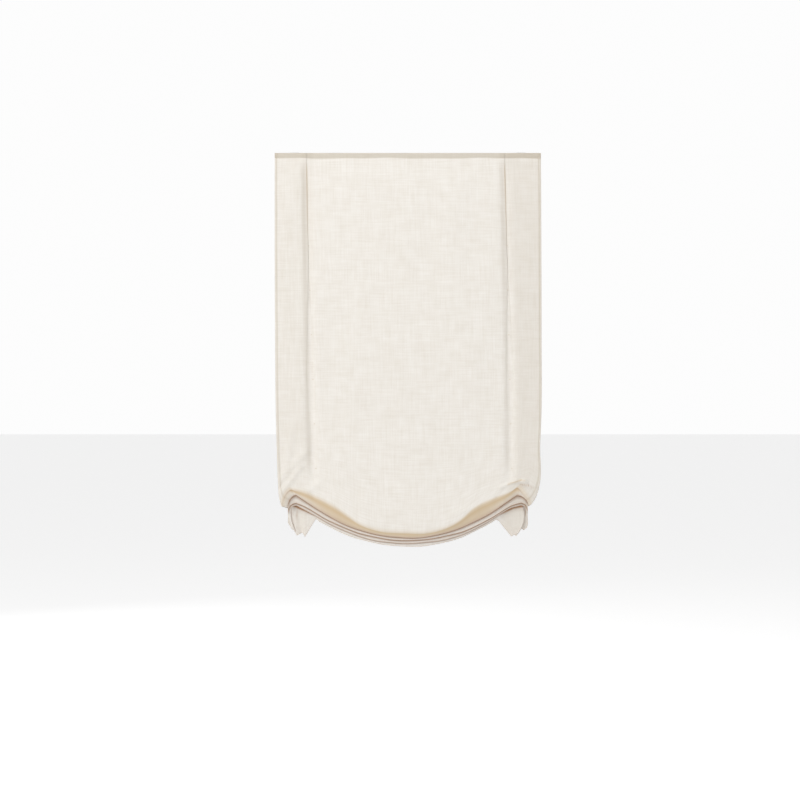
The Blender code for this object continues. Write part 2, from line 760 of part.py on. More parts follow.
def make_motor_case():
    """Two end plates on a floor, each with a seat for both drums, and a cover that clips over the top."""
    floor = rail_bottom + RAIL_WALL + FIT
    depth_low = rail_front + RAIL_WALL + FIT
    depth_high = rail_back - RAIL_WALL - FIT
    top = rail_top - RAIL_WALL - MOTOR_COVER_THICKNESS - 4 * FIT
    seat = (OUTPUT_DRUM_RADIUS + RUNNING_FIT) / math.cos(math.pi / ROUND_STEPS)
    small_seat = (STORAGE_JOURNAL_RADIUS + RUNNING_FIT) / math.cos(math.pi / ROUND_STEPS)
    outline = [
        (depth_low, top),
        (depth_low, floor),
        (depth_high, floor),
        (depth_high, top),
        (storage_y + small_seat, top),
        *arc((storage_y, shaft_z), small_seat, 0, -180, 9),
        (storage_y - small_seat, top),
        (shaft_y + seat, top),
        *arc((shaft_y, shaft_z), seat, 0, -180, 11),
        (shaft_y - seat, top),
    ]
    case = prism("motor_case", outline, -motor_half, -motor_half + MOTOR_WALL, "plastic")
    far_plate = prism("motor_plate", outline, motor_half - MOTOR_WALL, motor_half, cutter=True)
    inset = MOTOR_WALL / 2
    base = box(
        "motor_base",
        (-motor_half + inset, depth_low, floor),
        (motor_half - inset, depth_high, floor + CRADLE_BASE),
        cutter=True,
    )
    combine(case, base, "UNION")
    combine(case, far_plate, "UNION")
    cover_low = top + FIT
    box(
        "motor_cover",
        (-motor_half, depth_low, cover_low),
        (motor_half, depth_high, cover_low + MOTOR_COVER_THICKNESS),
        "plastic",
        bevel=MOTOR_COVER_BEVEL,
    )


def make_spring():
    """The steel strip: its turns on each drum, and the run that crosses from one to the other."""
    width = MOTOR_DRUM_LENGTH / 2 - 2 * FIT
    spot = (0, shaft_y, shaft_z)
    inner = OUTPUT_DRUM_RADIUS + FIT
    outer = inner + OUTPUT_SPRING_BUILD
    spring = turned("spring_band", ring_profile(outer, inner, width), spot, "spring")
    stored_inner = STORAGE_DRUM_RADIUS + FIT
    stored_outer = stored_inner + STORAGE_SPRING_BUILD
    stored = turned(
        "stored_turns", ring_profile(stored_outer, stored_inner, width), (0, storage_y, shaft_z), cutter=True
    )
    from_radius = outer - SPRING_THICKNESS / 2
    to_radius = stored_outer - SPRING_THICKNESS / 2
    angle = math.asin((from_radius + to_radius) / MOTOR_AXIS_SPACING)
    normal = (math.sin(angle), math.cos(angle))
    start = (shaft_y + from_radius * normal[0], shaft_z + from_radius * normal[1])
    finish = (storage_y - to_radius * normal[0], shaft_z - to_radius * normal[1])
    half = SPRING_THICKNESS / 2
    strip = [
        (start[0] + half * normal[0], start[1] + half * normal[1]),
        (start[0] - half * normal[0], start[1] - half * normal[1]),
        (finish[0] - half * normal[0], finish[1] - half * normal[1]),
        (finish[0] + half * normal[0], finish[1] + half * normal[1]),
    ]
    crossing = prism("crossing_run", strip, FIT - width, width - FIT, cutter=True)
    combine(spring, stored, "UNION")
    combine(spring, crossing, "UNION")


# Rings, spreader bar and lift cords


def ring_places():
    """(y, z, tilt) of each ring in a column: flat against the pleat, then one on top of each upper fold."""
    places = []
    for row in range(PANEL_RING_ROWS):
        places.append((ring_y, cloth_top - FIRST_RING_DROP - row * RING_SPACING, 0.0))
    for row in range(FOLD_COUNT):
        fold_y = (2 * row + 1.5) * LEG_STEP
        fold_z = cloth_top - first_tie_drop - row * TIE_STEP
        along_y = ring_stand_off * math.cos(tie_slope)
        along_z = ring_stand_off * math.sin(tie_slope)
        places.append((fold_y + along_y, fold_z + along_z, tie_slope))
    return places


def make_rings():
    mesh = None
    for side, name in ((-1, "left"), (1, "right")):
        for index, (y, z, tilt) in enumerate(ring_places(), start=1):
            if mesh is None:
                bpy.ops.mesh.primitive_torus_add(
                    major_segments=12, minor_segments=5, major_radius=RING_RADIUS, minor_radius=RING_WIRE
                )
                first = bpy.context.object
                mesh = first.data
                mesh.shade_smooth()
                mesh.materials.append(materials["clear"])
                bpy.data.objects.remove(first, do_unlink=True)
            ring = bpy.data.objects.new(f"ring_{name}_{index}", mesh)
            ring.location = (side * pleat_x, y, z)
            ring.rotation_euler = (tilt, 0, 0)
            place(ring)


def bar_place():
    """The bar's eye lies one more step down the line of the rings on the folds."""
    y, z, _ = ring_places()[-1]
    return y + 2 * LEG_STEP, z - TIE_STEP


def make_bar():
    y, z = bar_place()
    bar_end = pleat_x - BAR_EYE_WIDTH / 2 - BAR_CAP_WALL
    reach = (BAR_EYE_WIDTH + BAR_CAP_WALL) / 2
    turned("spreader_bar", disc_profile(BAR_RADIUS, bar_end), (0, y, z), "steel", steps=16)
    for side, name in ((-1, "left"), (1, "right")):
        cap = turned("bar_cap_" + name, cap_profile(side), (side * bar_end, y, z), "plastic", steps=16)
        middle = side * pleat_x
        eye = box(
            "bar_eye_" + name,
            (middle - reach, y - BAR_EYE_WIDTH / 2, z - BAR_EYE_HEIGHT / 2),
            (middle + reach, y + BAR_EYE_WIDTH / 2, z + BAR_EYE_HEIGHT / 2),
            cutter=True,
            bevel=BAR_EYE_BEVEL,
        )
        bore = turned(
            "eye_bore_" + name,
            disc_profile(CORD_BORE_RADIUS, BAR_EYE_HEIGHT),
            (side * pleat_x, y, z),
            cutter=True,
            steps=12,
            along="Z",
        )
        combine(cap, eye, "UNION")
        combine(cap, bore, "DIFFERENCE")


def cap_profile(side):
    """A cup over the bar's end, closed on the outer side."""
    inner = BAR_RADIUS + FIT
    outer = inner + BAR_CAP_WALL
    closed = side * (FIT + BAR_CAP_WALL)
    points = [
        (0, closed),
        (outer, closed),
        (outer, -side * BAR_CAP_GRIP),
        (inner, -side * BAR_CAP_GRIP),
        (inner, side * FIT),
        (0, side * FIT),
    ]
    return points if side > 0 else points[::-1]


def make_adjusters():
    """The stop that each cord is drawn through and knotted under, which carries the eye of the bar."""
    y, z = bar_place()
    top = z - BAR_EYE_HEIGHT / 2 - FIT
    middle = top - ADJUSTER_LENGTH / 2
    half = ADJUSTER_LENGTH / 2
    profile = [
        (CORD_BORE_RADIUS, half),
        (ADJUSTER_END_RADIUS, half),
        (ADJUSTER_RADIUS, ADJUSTER_SHOULDER),
        (ADJUSTER_RADIUS, -ADJUSTER_FOOT),
        (ADJUSTER_END_RADIUS, -half),
        (CORD_BORE_RADIUS, -half),
    ]
    for side, name in ((-1, "left"), (1, "right")):
        turned("cord_adjuster_" + name, profile, (side * pleat_x, y, middle), "plastic", steps=14, along="Z")


def cord_route():
    """(y, z) of one lift cord from its spool down through the rings to just below the stop."""
    top = arc((shaft_y, shaft_z), cord_wrap_radius, 90, 180, 7)
    through = [(y, z) for y, z, _ in ring_places()]
    y, z = bar_place()
    eye_top = (y, z + BAR_EYE_HEIGHT / 2)
    end = (y, z - BAR_EYE_HEIGHT / 2 - ADJUSTER_LENGTH - 2 * CORD_DIAMETER)
    return [*top, *through, eye_top, end]


def smooth_line(points, count):
    """Points at even steps on a smooth curve through the given ones, corners leaning to their longer side."""
    points = np.array(points)
    chord = np.hypot(*np.diff(points, axis=0).T)
    knots = np.concatenate([[0], np.cumsum(chord)])
    slope = np.diff(points, axis=0) / chord[:, None]
    across = (points[2:] - points[:-2]) / (chord[1:] + chord[:-1])[:, None]
    tangent = np.vstack([slope[:1], across, slope[-1:]])
    steps = np.unique(np.concatenate([np.linspace(0, knots[-1], count), knots]))
    steps = steps[np.concatenate([[True], np.diff(steps) > CORD_DIAMETER])]
    segment = np.clip(np.searchsorted(knots, steps, side="right") - 1, 0, len(chord) - 1)
    gap = chord[segment][:, None]
    t = ((steps - knots[segment]) / chord[segment])[:, None]
    start, finish = points[segment], points[segment + 1]
    first = (2 * t**3 - 3 * t**2 + 1) * start + (t**3 - 2 * t**2 + t) * gap * tangent[segment]
    second = (-2 * t**3 + 3 * t**2) * finish + (t**3 - t**2) * gap * tangent[segment + 1]
    return first + second


def make_cords():
    route = smooth_line(cord_route(), CORD_POINTS)
    for side, name in ((-1, "left"), (1, "right")):
        curve = bpy.data.curves.new("lift_cord_" + name, "CURVE")
        curve.dimensions = "3D"
        curve.bevel_depth = cord_radius
        curve.bevel_resolution = 2
        curve.use_fill_caps = True
        spline = curve.splines.new("POLY")
        spline.points.add(len(route) - 1)
        for point, (y, z) in zip(spline.points, route):
            point.co = (side * pleat_x, y, z, 1)
        place(bpy.data.objects.new("lift_cord_" + name, curve), "cord")


make_cloth()
make_tapes()
make_rail()
make_end_caps()
make_brackets()
make_cradles()
make_shaft()
make_spools()
make_motor()
make_rings()
make_bar()
make_adjusters()
make_cords()
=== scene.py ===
import json
import math

import bpy
import numpy as np
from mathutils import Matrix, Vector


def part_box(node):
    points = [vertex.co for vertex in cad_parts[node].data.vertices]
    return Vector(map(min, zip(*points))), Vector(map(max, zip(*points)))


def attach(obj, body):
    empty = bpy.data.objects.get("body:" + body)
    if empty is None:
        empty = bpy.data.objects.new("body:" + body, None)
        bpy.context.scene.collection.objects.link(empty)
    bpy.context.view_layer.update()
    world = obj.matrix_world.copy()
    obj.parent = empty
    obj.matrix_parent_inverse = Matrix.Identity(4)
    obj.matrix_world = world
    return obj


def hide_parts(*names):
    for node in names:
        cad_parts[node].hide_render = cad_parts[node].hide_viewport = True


# Looks of a relaxed roman shade: the cloth, its seams and stitches, rings, cords, spools and headrail.
# Metres, +Z up, the front faces -Y. Pieces are numpy surfaces, and the frame's boxes place them.

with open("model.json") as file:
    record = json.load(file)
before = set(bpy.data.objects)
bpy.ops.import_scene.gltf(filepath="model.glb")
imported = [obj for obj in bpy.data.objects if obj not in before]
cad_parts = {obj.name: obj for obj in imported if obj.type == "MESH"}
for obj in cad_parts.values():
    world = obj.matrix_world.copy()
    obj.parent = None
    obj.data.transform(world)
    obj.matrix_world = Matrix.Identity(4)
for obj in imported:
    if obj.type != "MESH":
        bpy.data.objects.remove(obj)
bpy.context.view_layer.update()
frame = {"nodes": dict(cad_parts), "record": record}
print("frame loaded:", len(frame["nodes"]), "nodes")

photoView = {
    "pixel": 0.003436,  # metres across one pixel at the cloth
    "middlePixel": 407.8,  # pixel column of the shade's middle
    "topPixel": 153.0,  # pixel row of the cloth's top edge
    "size": 800,
    "distance": 6.0,
    "sensor": 36.0,
}


def boxMiddle(node):
    # middle of a node's box
    low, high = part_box(node)
    return np.array([(low[i] + high[i]) / 2 for i in range(3)])


def boxSize(node):
    # size of a node's box
    low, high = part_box(node)
    return np.array([high[i] - low[i] for i in range(3)])


clothLow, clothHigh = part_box("shade_fabric")
clothTop = clothHigh[2]
halfWidth = clothHigh[0]
sides = {"left": -1, "right": 1}


# Small numpy tools

def smoothStep(t):
    # 3t^2 - 2t^3, level before 0 and after 1
    t = np.clip(t, 0.0, 1.0)
    return t * t * (3 - 2 * t)


def through(points, at):
    # cubic through (station, value) pairs, its slopes taken across the neighbours, level past both ends
    spot, value = np.array(points, float).T
    slope = np.gradient(value, spot)
    at = np.clip(at, spot[0], spot[-1])
    cell = np.clip(np.searchsorted(spot, at, side="right") - 1, 0, len(spot) - 2)
    gap = spot[cell + 1] - spot[cell]
    t = (at - spot[cell]) / gap
    near = (2 * t**3 - 3 * t**2 + 1) * value[cell] + (t**3 - 2 * t**2 + t) * gap * slope[cell]
    far = (3 * t**2 - 2 * t**3) * value[cell + 1] + (t**3 - t**2) * gap * slope[cell + 1]
    return near + far


def lengthAlong(path):
    # running length of a path at each of its points
    return np.concatenate([[0], np.cumsum(np.linalg.norm(np.diff(path, axis=0), axis=1))])


def resample(path, count):
    # points at even steps of length along a path
    length = lengthAlong(path)
    at = np.linspace(0, length[-1], count)
    return np.stack([np.interp(at, length, path[:, i]) for i in range(3)], axis=1)


def smoothPath(points, count):
    # even steps along a cubic through the points, by chord length
    chord = lengthAlong(points)
    at = np.linspace(0, chord[-1], count * 4)
    fine = np.stack([through(np.stack([chord, points[:, i]], axis=1), at) for i in range(3)], axis=1)
    return resample(fine, count)


def meshObject(name, points, faces, material, uv=None, values=None, sharp=None):
    # one object from whole arrays of points and faces, with a uv and float values for each point
    mesh = bpy.data.meshes.new(name)
    mesh.from_pydata(points.reshape(-1, 3).tolist(), [], faces)
    mesh.shade_smooth()
    if sharp:
        mesh.set_sharp_from_angle(angle=math.radians(sharp))
    corner = np.empty(len(mesh.loops), np.int32)
    mesh.loops.foreach_get("vertex_index", corner)
    if uv is not None:
        layer = mesh.uv_layers.new(name="surface")
        layer.data.foreach_set("uv", uv.reshape(-1, 2)[corner].ravel())
    for key, value in (values or {}).items():
        mesh.attributes.new(key, "FLOAT", "POINT").data.foreach_set("value", value.ravel())
    mesh.materials.append(material)
    obj = bpy.data.objects.new(name, mesh)
    bpy.context.scene.collection.objects.link(obj)
    return obj


def gridFaces(rows, columns, closeRows=False, closeColumns=False):
    # the quads of a grid of points, closed round in either direction
    r = np.arange(rows if closeRows else rows - 1)[:, None]
    c = np.arange(columns if closeColumns else columns - 1)[None, :]
    after, beside = (r + 1) % rows, (c + 1) % columns
    corners = [r * columns + c, r * columns + beside, after * columns + beside, after * columns + c]
    return np.stack(corners, axis=-1).reshape(-1, 4)


def tubeSurface(paths, radius, sidesRound, closed=False):
    # rings of points round each path: P + r (cos a N + sin a B), N carried from one fixed direction
    paths = np.asarray(paths, float)
    if closed:
        ahead = np.roll(paths, -1, axis=1) - np.roll(paths, 1, axis=1)
    else:
        ahead = np.gradient(paths, axis=1)
    ahead /= np.linalg.norm(ahead, axis=2, keepdims=True)
    mean = np.abs(ahead).mean(axis=(0, 1))
    fixed = np.eye(3)[np.argmin(mean)]
    across = np.cross(ahead, fixed)
    across /= np.linalg.norm(across, axis=2, keepdims=True)
    beside = np.cross(ahead, across)
    angle = np.linspace(0, 2 * math.pi, sidesRound, endpoint=False)
    radius = np.broadcast_to(radius, paths.shape[:2])[:, :, None, None]
    ring = np.cos(angle)[None, None, :, None] * across[:, :, None, :]
    ring = ring + np.sin(angle)[None, None, :, None] * beside[:, :, None, :]
    return paths[:, :, None, :] + radius * ring


def sweptObject(name, rings, material, closed=False, sharp=None):
    # rings of points [run, step, round, 3] joined into one object, its open ends capped, uv in metres
    count, steps, around, _ = rings.shape
    start = np.arange(count) * steps * around
    faces = (gridFaces(steps, around, closed, True)[None] + start[:, None, None]).reshape(-1, 4).tolist()
    if not closed:
        first = start[:, None] + np.arange(around)[None]
        faces += first[:, ::-1].tolist() + (first + (steps - 1) * around).tolist()
    middle = rings.mean(axis=2)
    run = np.zeros((count, steps))
    run[:, 1:] = np.cumsum(np.linalg.norm(np.diff(middle, axis=1), axis=2), axis=1)
    size = np.linalg.norm(rings[0, 0] - middle[0, 0], axis=1).mean()
    turn = np.linspace(0, 2 * math.pi * size, around)
    uv = np.stack(np.broadcast_arrays(run[:, :, None], turn), axis=-1)
    return meshObject(name, rings, faces, material, uv, sharp=sharp)


def latheObject(name, profile, middle, material, steps=48, along="x"):
    # a profile of (radius, distance) turned round an axis through the middle: its outer side runs forward
    profile = np.asarray(profile, float)
    angle = np.linspace(0, 2 * math.pi, steps, endpoint=False)
    one = profile[:, :1] * np.cos(angle)
    two = profile[:, :1] * np.sin(angle)
    flat = np.broadcast_to(profile[:, 1:], one.shape)
    order = (flat, one, two) if along == "x" else (one, two, flat)
    points = np.stack(order, axis=-1) + np.asarray(middle)
    run = lengthAlong(profile)
    uv = np.stack(np.broadcast_arrays(run[:, None], angle[None] * profile[:, 0].max()), axis=-1)
    hollow = bool(profile[0, 0] > 0)
    faces = gridFaces(len(profile), steps, hollow, True)
    obj = meshObject(name, points, faces.tolist(), material, uv, sharp=50)
    if not hollow:
        poles = obj.modifiers.new("poles", "WELD")
        poles.merge_threshold = 0.000002
    return obj


def roundedProfile(corners, radius, steps=4):
    # each corner of a closed (radius, distance) outline is eased by a short arc, a quadratic through it
    corners = np.asarray(corners, float)
    count = len(corners)
    out = []
    for index in range(count):
        before, here, after = corners[index - 1], corners[index], corners[(index + 1) % count]
        if here[0] <= 0:
            out.append(here[None])
            continue
        inward, outward = before - here, after - here
        ease = min(radius, 0.45 * np.linalg.norm(inward), 0.45 * np.linalg.norm(outward))
        start = here + inward / np.linalg.norm(inward) * ease
        finish = here + outward / np.linalg.norm(outward) * ease
        t = np.linspace(0, 1, steps)[:, None]
        out.append((1 - t) ** 2 * start + 2 * t * (1 - t) * here + t**2 * finish)
    return np.concatenate(out)


# Materials

def newGroup(name, inputs, outputs):
    # a node group with named input sockets, and outputs that are all single values
    group = bpy.data.node_groups.new(name, "ShaderNodeTree")
    for socket, kind, value in inputs:
        made = group.interface.new_socket(socket, in_out="INPUT", socket_type=kind)
        if value is not None:
            made.default_value = value
    for socket in outputs:
        group.interface.new_socket(socket, in_out="OUTPUT", socket_type="NodeSocketFloat")
    inside = group.nodes.new("NodeGroupInput")
    outside = group.nodes.new("NodeGroupOutput")
    return group, inside, outside


def mathNode(tree, operation, one, two=None, three=None):
    # one operation on numbers or sockets
    node = tree.nodes.new("ShaderNodeMath")
    node.operation = operation
    for index, value in enumerate((one, two, three)):
        if value is None:
            continue
        if isinstance(value, (int, float)):
            node.inputs[index].default_value = value
        else:
            tree.links.new(value, node.inputs[index])
    return node.outputs[0]


def noiseNode(tree, vector, stretch, scale, detail=3.0):
    # noise on a vector that is first stretched by three factors
    stretched = tree.nodes.new("ShaderNodeVectorMath")
    stretched.operation = "MULTIPLY"
    tree.links.new(vector, stretched.inputs[0])
    stretched.inputs[1].default_value = stretch
    noise = tree.nodes.new("ShaderNodeTexNoise")
    tree.links.new(stretched.outputs[0], noise.inputs["Vector"])
    if isinstance(scale, (int, float)):
        noise.inputs["Scale"].default_value = scale
    else:
        tree.links.new(scale, noise.inputs["Scale"])
    noise.inputs["Detail"].default_value = detail
    return noise.outputs["Fac"]


weaveLook = {
    # stretches of the noise: along the weft and along the warp, fine yarns and then thick ones
    "yarns": [(14.0, 620.0, 1.0), (620.0, 11.0, 1.0), (11.0, 170.0, 1.0), (170.0, 9.0, 1.0)],
    "clouds": (26.0, 26.0, 1.0),
    "cloudShare": 0.5,
    "ridgeShare": 0.12,
    "slubHeight": 1.6,
}


def makeWeaveGroup():
    # plain weave: warp and weft ridges |sin| in turn over and under, and uneven yarns from stretched noise
    look = weaveLook
    group, inside, outside = newGroup(
        "threadWeave",
        [
            ("Vector", "NodeSocketVector", None),
            ("Threads", "NodeSocketFloat", 1100.0),
            ("Slub", "NodeSocketFloat", 0.5),
        ],
        ["Tone", "Height"],
    )
    split = group.nodes.new("ShaderNodeSeparateXYZ")
    group.links.new(inside.outputs["Vector"], split.inputs[0])
    turns = mathNode(group, "MULTIPLY", inside.outputs["Threads"], math.pi)
    warp = mathNode(group, "SINE", mathNode(group, "MULTIPLY", split.outputs[0], turns))
    weft = mathNode(group, "SINE", mathNode(group, "MULTIPLY", split.outputs[1], turns))
    over = mathNode(group, "MULTIPLY_ADD", mathNode(group, "MULTIPLY", warp, weft), 0.5, 0.5)
    under = mathNode(group, "SUBTRACT", 1.0, over)
    weftRidges = mathNode(group, "MULTIPLY", mathNode(group, "ABSOLUTE", weft), under)
    ridges = mathNode(group, "MULTIPLY_ADD", mathNode(group, "ABSOLUTE", warp), over, weftRidges)
    noises = [noiseNode(group, inside.outputs["Vector"], stretch, 1.0) for stretch in look["yarns"]]
    cloudy = noiseNode(group, inside.outputs["Vector"], look["clouds"], 1.0)
    both = mathNode(group, "ADD", mathNode(group, "ADD", *noises[:2]), mathNode(group, "ADD", *noises[2:]))
    slub = mathNode(group, "MULTIPLY", mathNode(group, "SUBTRACT", both, 2.0), inside.outputs["Slub"])
    mottle = mathNode(group, "MULTIPLY", mathNode(group, "SUBTRACT", cloudy, 0.5), look["cloudShare"])
    fine = mathNode(group, "MULTIPLY", mathNode(group, "SUBTRACT", ridges, 0.5), look["ridgeShare"])
    tone = mathNode(group, "ADD", mathNode(group, "ADD", slub, mottle), mathNode(group, "ADD", fine, 0.5))
    group.links.new(tone, outside.inputs["Tone"])
    height = mathNode(group, "ADD", ridges, mathNode(group, "MULTIPLY", slub, look["slubHeight"]))
    group.links.new(height, outside.inputs["Height"])
    return group


def makeGrainGroup():
    # two sizes of noise on a vector: the coarse one for tone, their sum for height
    group, inside, outside = newGroup(
        "fineGrain",
        [("Vector", "NodeSocketVector", None), ("Scale", "NodeSocketFloat", 300.0)],
        ["Tone", "Height"],
    )
    coarse = noiseNode(group, inside.outputs["Vector"], (1.0, 1.0, 1.0), 12.0)
    fine = noiseNode(group, inside.outputs["Vector"], (1.0, 1.0, 1.0), inside.outputs["Scale"])
    group.links.new(coarse, outside.inputs["Tone"])
    group.links.new(mathNode(group, "MULTIPLY_ADD", coarse, 0.3, fine), outside.inputs["Height"])
    return group


weaveGroup = makeWeaveGroup()
grainGroup = makeGrainGroup()


def newMaterial(name, roughness, metallic=0.0):
    # a material with its node tree and its shader
    material = bpy.data.materials.new(name)
    material.use_nodes = True
    tree = material.node_tree
    shader = tree.nodes["Principled BSDF"]
    shader.inputs["Roughness"].default_value = roughness
    shader.inputs["Metallic"].default_value = metallic
    return material, tree, shader


def coordinates(tree, kind):
    # Object or UV coordinates
    node = tree.nodes.new("ShaderNodeTexCoord")
    return node.outputs[kind]


def attribute(tree, name):
    # a value that the piece holds at its points
    node = tree.nodes.new("ShaderNodeAttribute")
    node.attribute_name = name
    return node.outputs["Fac"]


def mixColor(tree, share, one, two, blend="MIX"):
    # two colours by a share: numbers, tuples or sockets
    node = tree.nodes.new("ShaderNodeMix")
    node.data_type = "RGBA"
    node.blend_type = blend
    for socket, value in ((node.inputs["Factor"], share), (node.inputs[6], one), (node.inputs[7], two)):
        if isinstance(value, bpy.types.NodeSocket):
            tree.links.new(value, socket)
        elif isinstance(value, tuple):
            socket.default_value = (*value, 1.0)
        else:
            socket.default_value = value
    return node.outputs[2]


def bumpNode(tree, height, strength, distance):
    # a normal from a height
    node = tree.nodes.new("ShaderNodeBump")
    node.inputs["Strength"].default_value = strength
    node.inputs["Distance"].default_value = distance
    tree.links.new(height, node.inputs["Height"])
    return node.outputs["Normal"]


def groupNode(tree, group, vector, **values):
    # a node that uses a group, fed by a vector and by numbers for its named sockets
    node = tree.nodes.new("ShaderNodeGroup")
    node.node_tree = group
    tree.links.new(vector, node.inputs["Vector"])
    for key, value in values.items():
        node.inputs[key].default_value = value
    return node


linenLook = {
    "pale": (0.905, 0.880, 0.840),
    "yarn": (0.740, 0.690, 0.615),
    # painted shade colours: tan where the cloth lies in layers, warm tan where it turns under or a slit
    # shows, brown deep in folds
    "layerShade": (0.520, 0.455, 0.360),
    "turned": (0.620, 0.465, 0.275),
    "creaseShade": (0.340, 0.140, 0.030),
    "roughness": 0.92,
    "threads": 1150.0,
    "slub": 0.55,
    "bump": 0.35,
}


def linenMaterial(name, deep, warmShadeName=None):
    # woven tone, then painted shade: tan where the cloth lies double, warmer where it turns under, brown deep
    # in the folds
    material, tree, shader = newMaterial(name, linenLook["roughness"])
    weave = groupNode(
        tree, weaveGroup, coordinates(tree, "UV"), Threads=linenLook["threads"], Slub=linenLook["slub"]
    )
    color = mixColor(tree, weave.outputs["Tone"], linenLook["yarn"], linenLook["pale"])
    # painted shade: darker for layered cloth, warm tan for under-turned faces and slits, brown in folds
    color = mixColor(tree, attribute(tree, "layerShade"), color, linenLook["layerShade"])
    if warmShadeName:
        color = mixColor(tree, attribute(tree, warmShadeName), color, linenLook["turned"])
    color = mixColor(tree, attribute(tree, deep), color, linenLook["creaseShade"])
    tree.links.new(color, shader.inputs["Base Color"])
    shader.inputs["Sheen Weight"].default_value = 0.15
    shader.inputs["Sheen Roughness"].default_value = 0.6
    shader.inputs["Specular IOR Level"].default_value = 0.15
    normal = bumpNode(tree, weave.outputs["Height"], linenLook["bump"], 0.0003)
    tree.links.new(normal, shader.inputs["Normal"])
    return material


def wovenMaterial(name, dark, pale, threads, bump):
    # twisted or braided thread: the weave at its own count, between two tones
    material, tree, shader = newMaterial(name, 0.85)
    weave = groupNode(tree, weaveGroup, coordinates(tree, "UV"), Threads=threads, Slub=0.25)
    tree.links.new(mixColor(tree, weave.outputs["Tone"], dark, pale), shader.inputs["Base Color"])
    shader.inputs["Sheen Weight"].default_value = 0.1
    shader.inputs["Specular IOR Level"].default_value = 0.2
    tree.links.new(bumpNode(tree, weave.outputs["Height"], bump, 0.0003), shader.inputs["Normal"])
    return material


def smoothMaterial(name, dark, pale, roughness, scale=300.0, bump=0.06, coat=0.0):
    # a hard finish with a fine grain in its tone, its roughness and its bump
    spread = 0.12
    material, tree, shader = newMaterial(name, roughness)
    grain = groupNode(tree, grainGroup, coordinates(tree, "Object"), Scale=scale)
    tree.links.new(mixColor(tree, grain.outputs["Tone"], dark, pale), shader.inputs["Base Color"])
    rough = mathNode(tree, "MULTIPLY_ADD", grain.outputs["Tone"], spread, roughness - spread / 2)
    tree.links.new(rough, shader.inputs["Roughness"])
    shader.inputs["Coat Weight"].default_value = coat
    tree.links.new(bumpNode(tree, grain.outputs["Height"], bump, 0.0002), shader.inputs["Normal"])
    return material


def brushedMaterial(name, dark, pale, roughness, stretch):
    # drawn metal: noise stretched along the drawing, in tone, roughness and bump
    material, tree, shader = newMaterial(name, roughness, 1.0)
    lines = noiseNode(tree, coordinates(tree, "Object"), stretch, 1.0, 5.0)
    tree.links.new(mixColor(tree, lines, dark, pale), shader.inputs["Base Color"])
    rough = mathNode(tree, "MULTIPLY_ADD", lines, 0.25, roughness - 0.12)
    tree.links.new(rough, shader.inputs["Roughness"])
    tree.links.new(bumpNode(tree, lines, 0.08, 0.0001), shader.inputs["Normal"])
    return material


def pileMaterial(name, dark, pale, scale):
    # hook or loop pile: small round cells stand up from the tape, with painted shade darker towards each
    # cell's edge
    material, tree, shader = newMaterial(name, 0.95)
    cells = tree.nodes.new("ShaderNodeTexVoronoi")
    cells.inputs["Scale"].default_value = scale
    tree.links.new(coordinates(tree, "Object"), cells.inputs["Vector"])
    # painted shade: pale in each cell's middle, darker towards its edge where the pile sinks
    tree.links.new(mixColor(tree, cells.outputs["Distance"], pale, dark), shader.inputs["Base Color"])
    up = mathNode(tree, "SUBTRACT", 1.0, cells.outputs["Distance"])
    tree.links.new(bumpNode(tree, up, 0.8, 0.0006), shader.inputs["Normal"])
    return material


finish = {
    # the front takes painted shade of folds and under-turned faces, the back only the painted shade lines of
    # the tails
    "linen": linenMaterial("ivoryLinen", "creaseShade", "turned"),
    "linenBack": linenMaterial("ivoryLinenBack", "bothSides"),
    "thread": wovenMaterial("sewingThread", (0.60, 0.52, 0.40), (0.84, 0.78, 0.68), 3200.0, bump=0.6),
    "braid": wovenMaterial("cordBraid", (0.62, 0.60, 0.55), (0.88, 0.87, 0.84), 1900.0, bump=0.9),
    "enamel": smoothMaterial("whiteEnamel", (0.80, 0.80, 0.78), (0.86, 0.86, 0.84), 0.34, coat=0.25),
    "moulded": smoothMaterial(
        "mouldedPlastic", (0.78, 0.78, 0.76), (0.86, 0.86, 0.84), 0.46, scale=900.0, bump=0.12
    ),
    "milky": smoothMaterial("milkyPlastic", (0.72, 0.72, 0.69), (0.84, 0.84, 0.81), 0.30, coat=0.3),
    "rod": brushedMaterial("platedRod", (0.50, 0.51, 0.53), (0.72, 0.73, 0.74), 0.32, (6.0, 900.0, 900.0)),
    "strip": brushedMaterial(
        "temperedStrip", (0.20, 0.22, 0.29), (0.42, 0.44, 0.50), 0.30, (8.0, 400.0, 400.0)
    ),
    "loops": pileMaterial("loopPile", (0.55, 0.54, 0.51), (0.84, 0.83, 0.80), 700.0),
    "hooks": pileMaterial("hookPile", (0.58, 0.57, 0.54), (0.80, 0.79, 0.76), 900.0),
}
print("materials made:", len(finish))


def place(obj, body, slot, *nodes):
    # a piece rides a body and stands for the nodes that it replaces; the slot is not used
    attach(obj, body)
    if nodes:
        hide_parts(*nodes)
    return obj


# The cloth

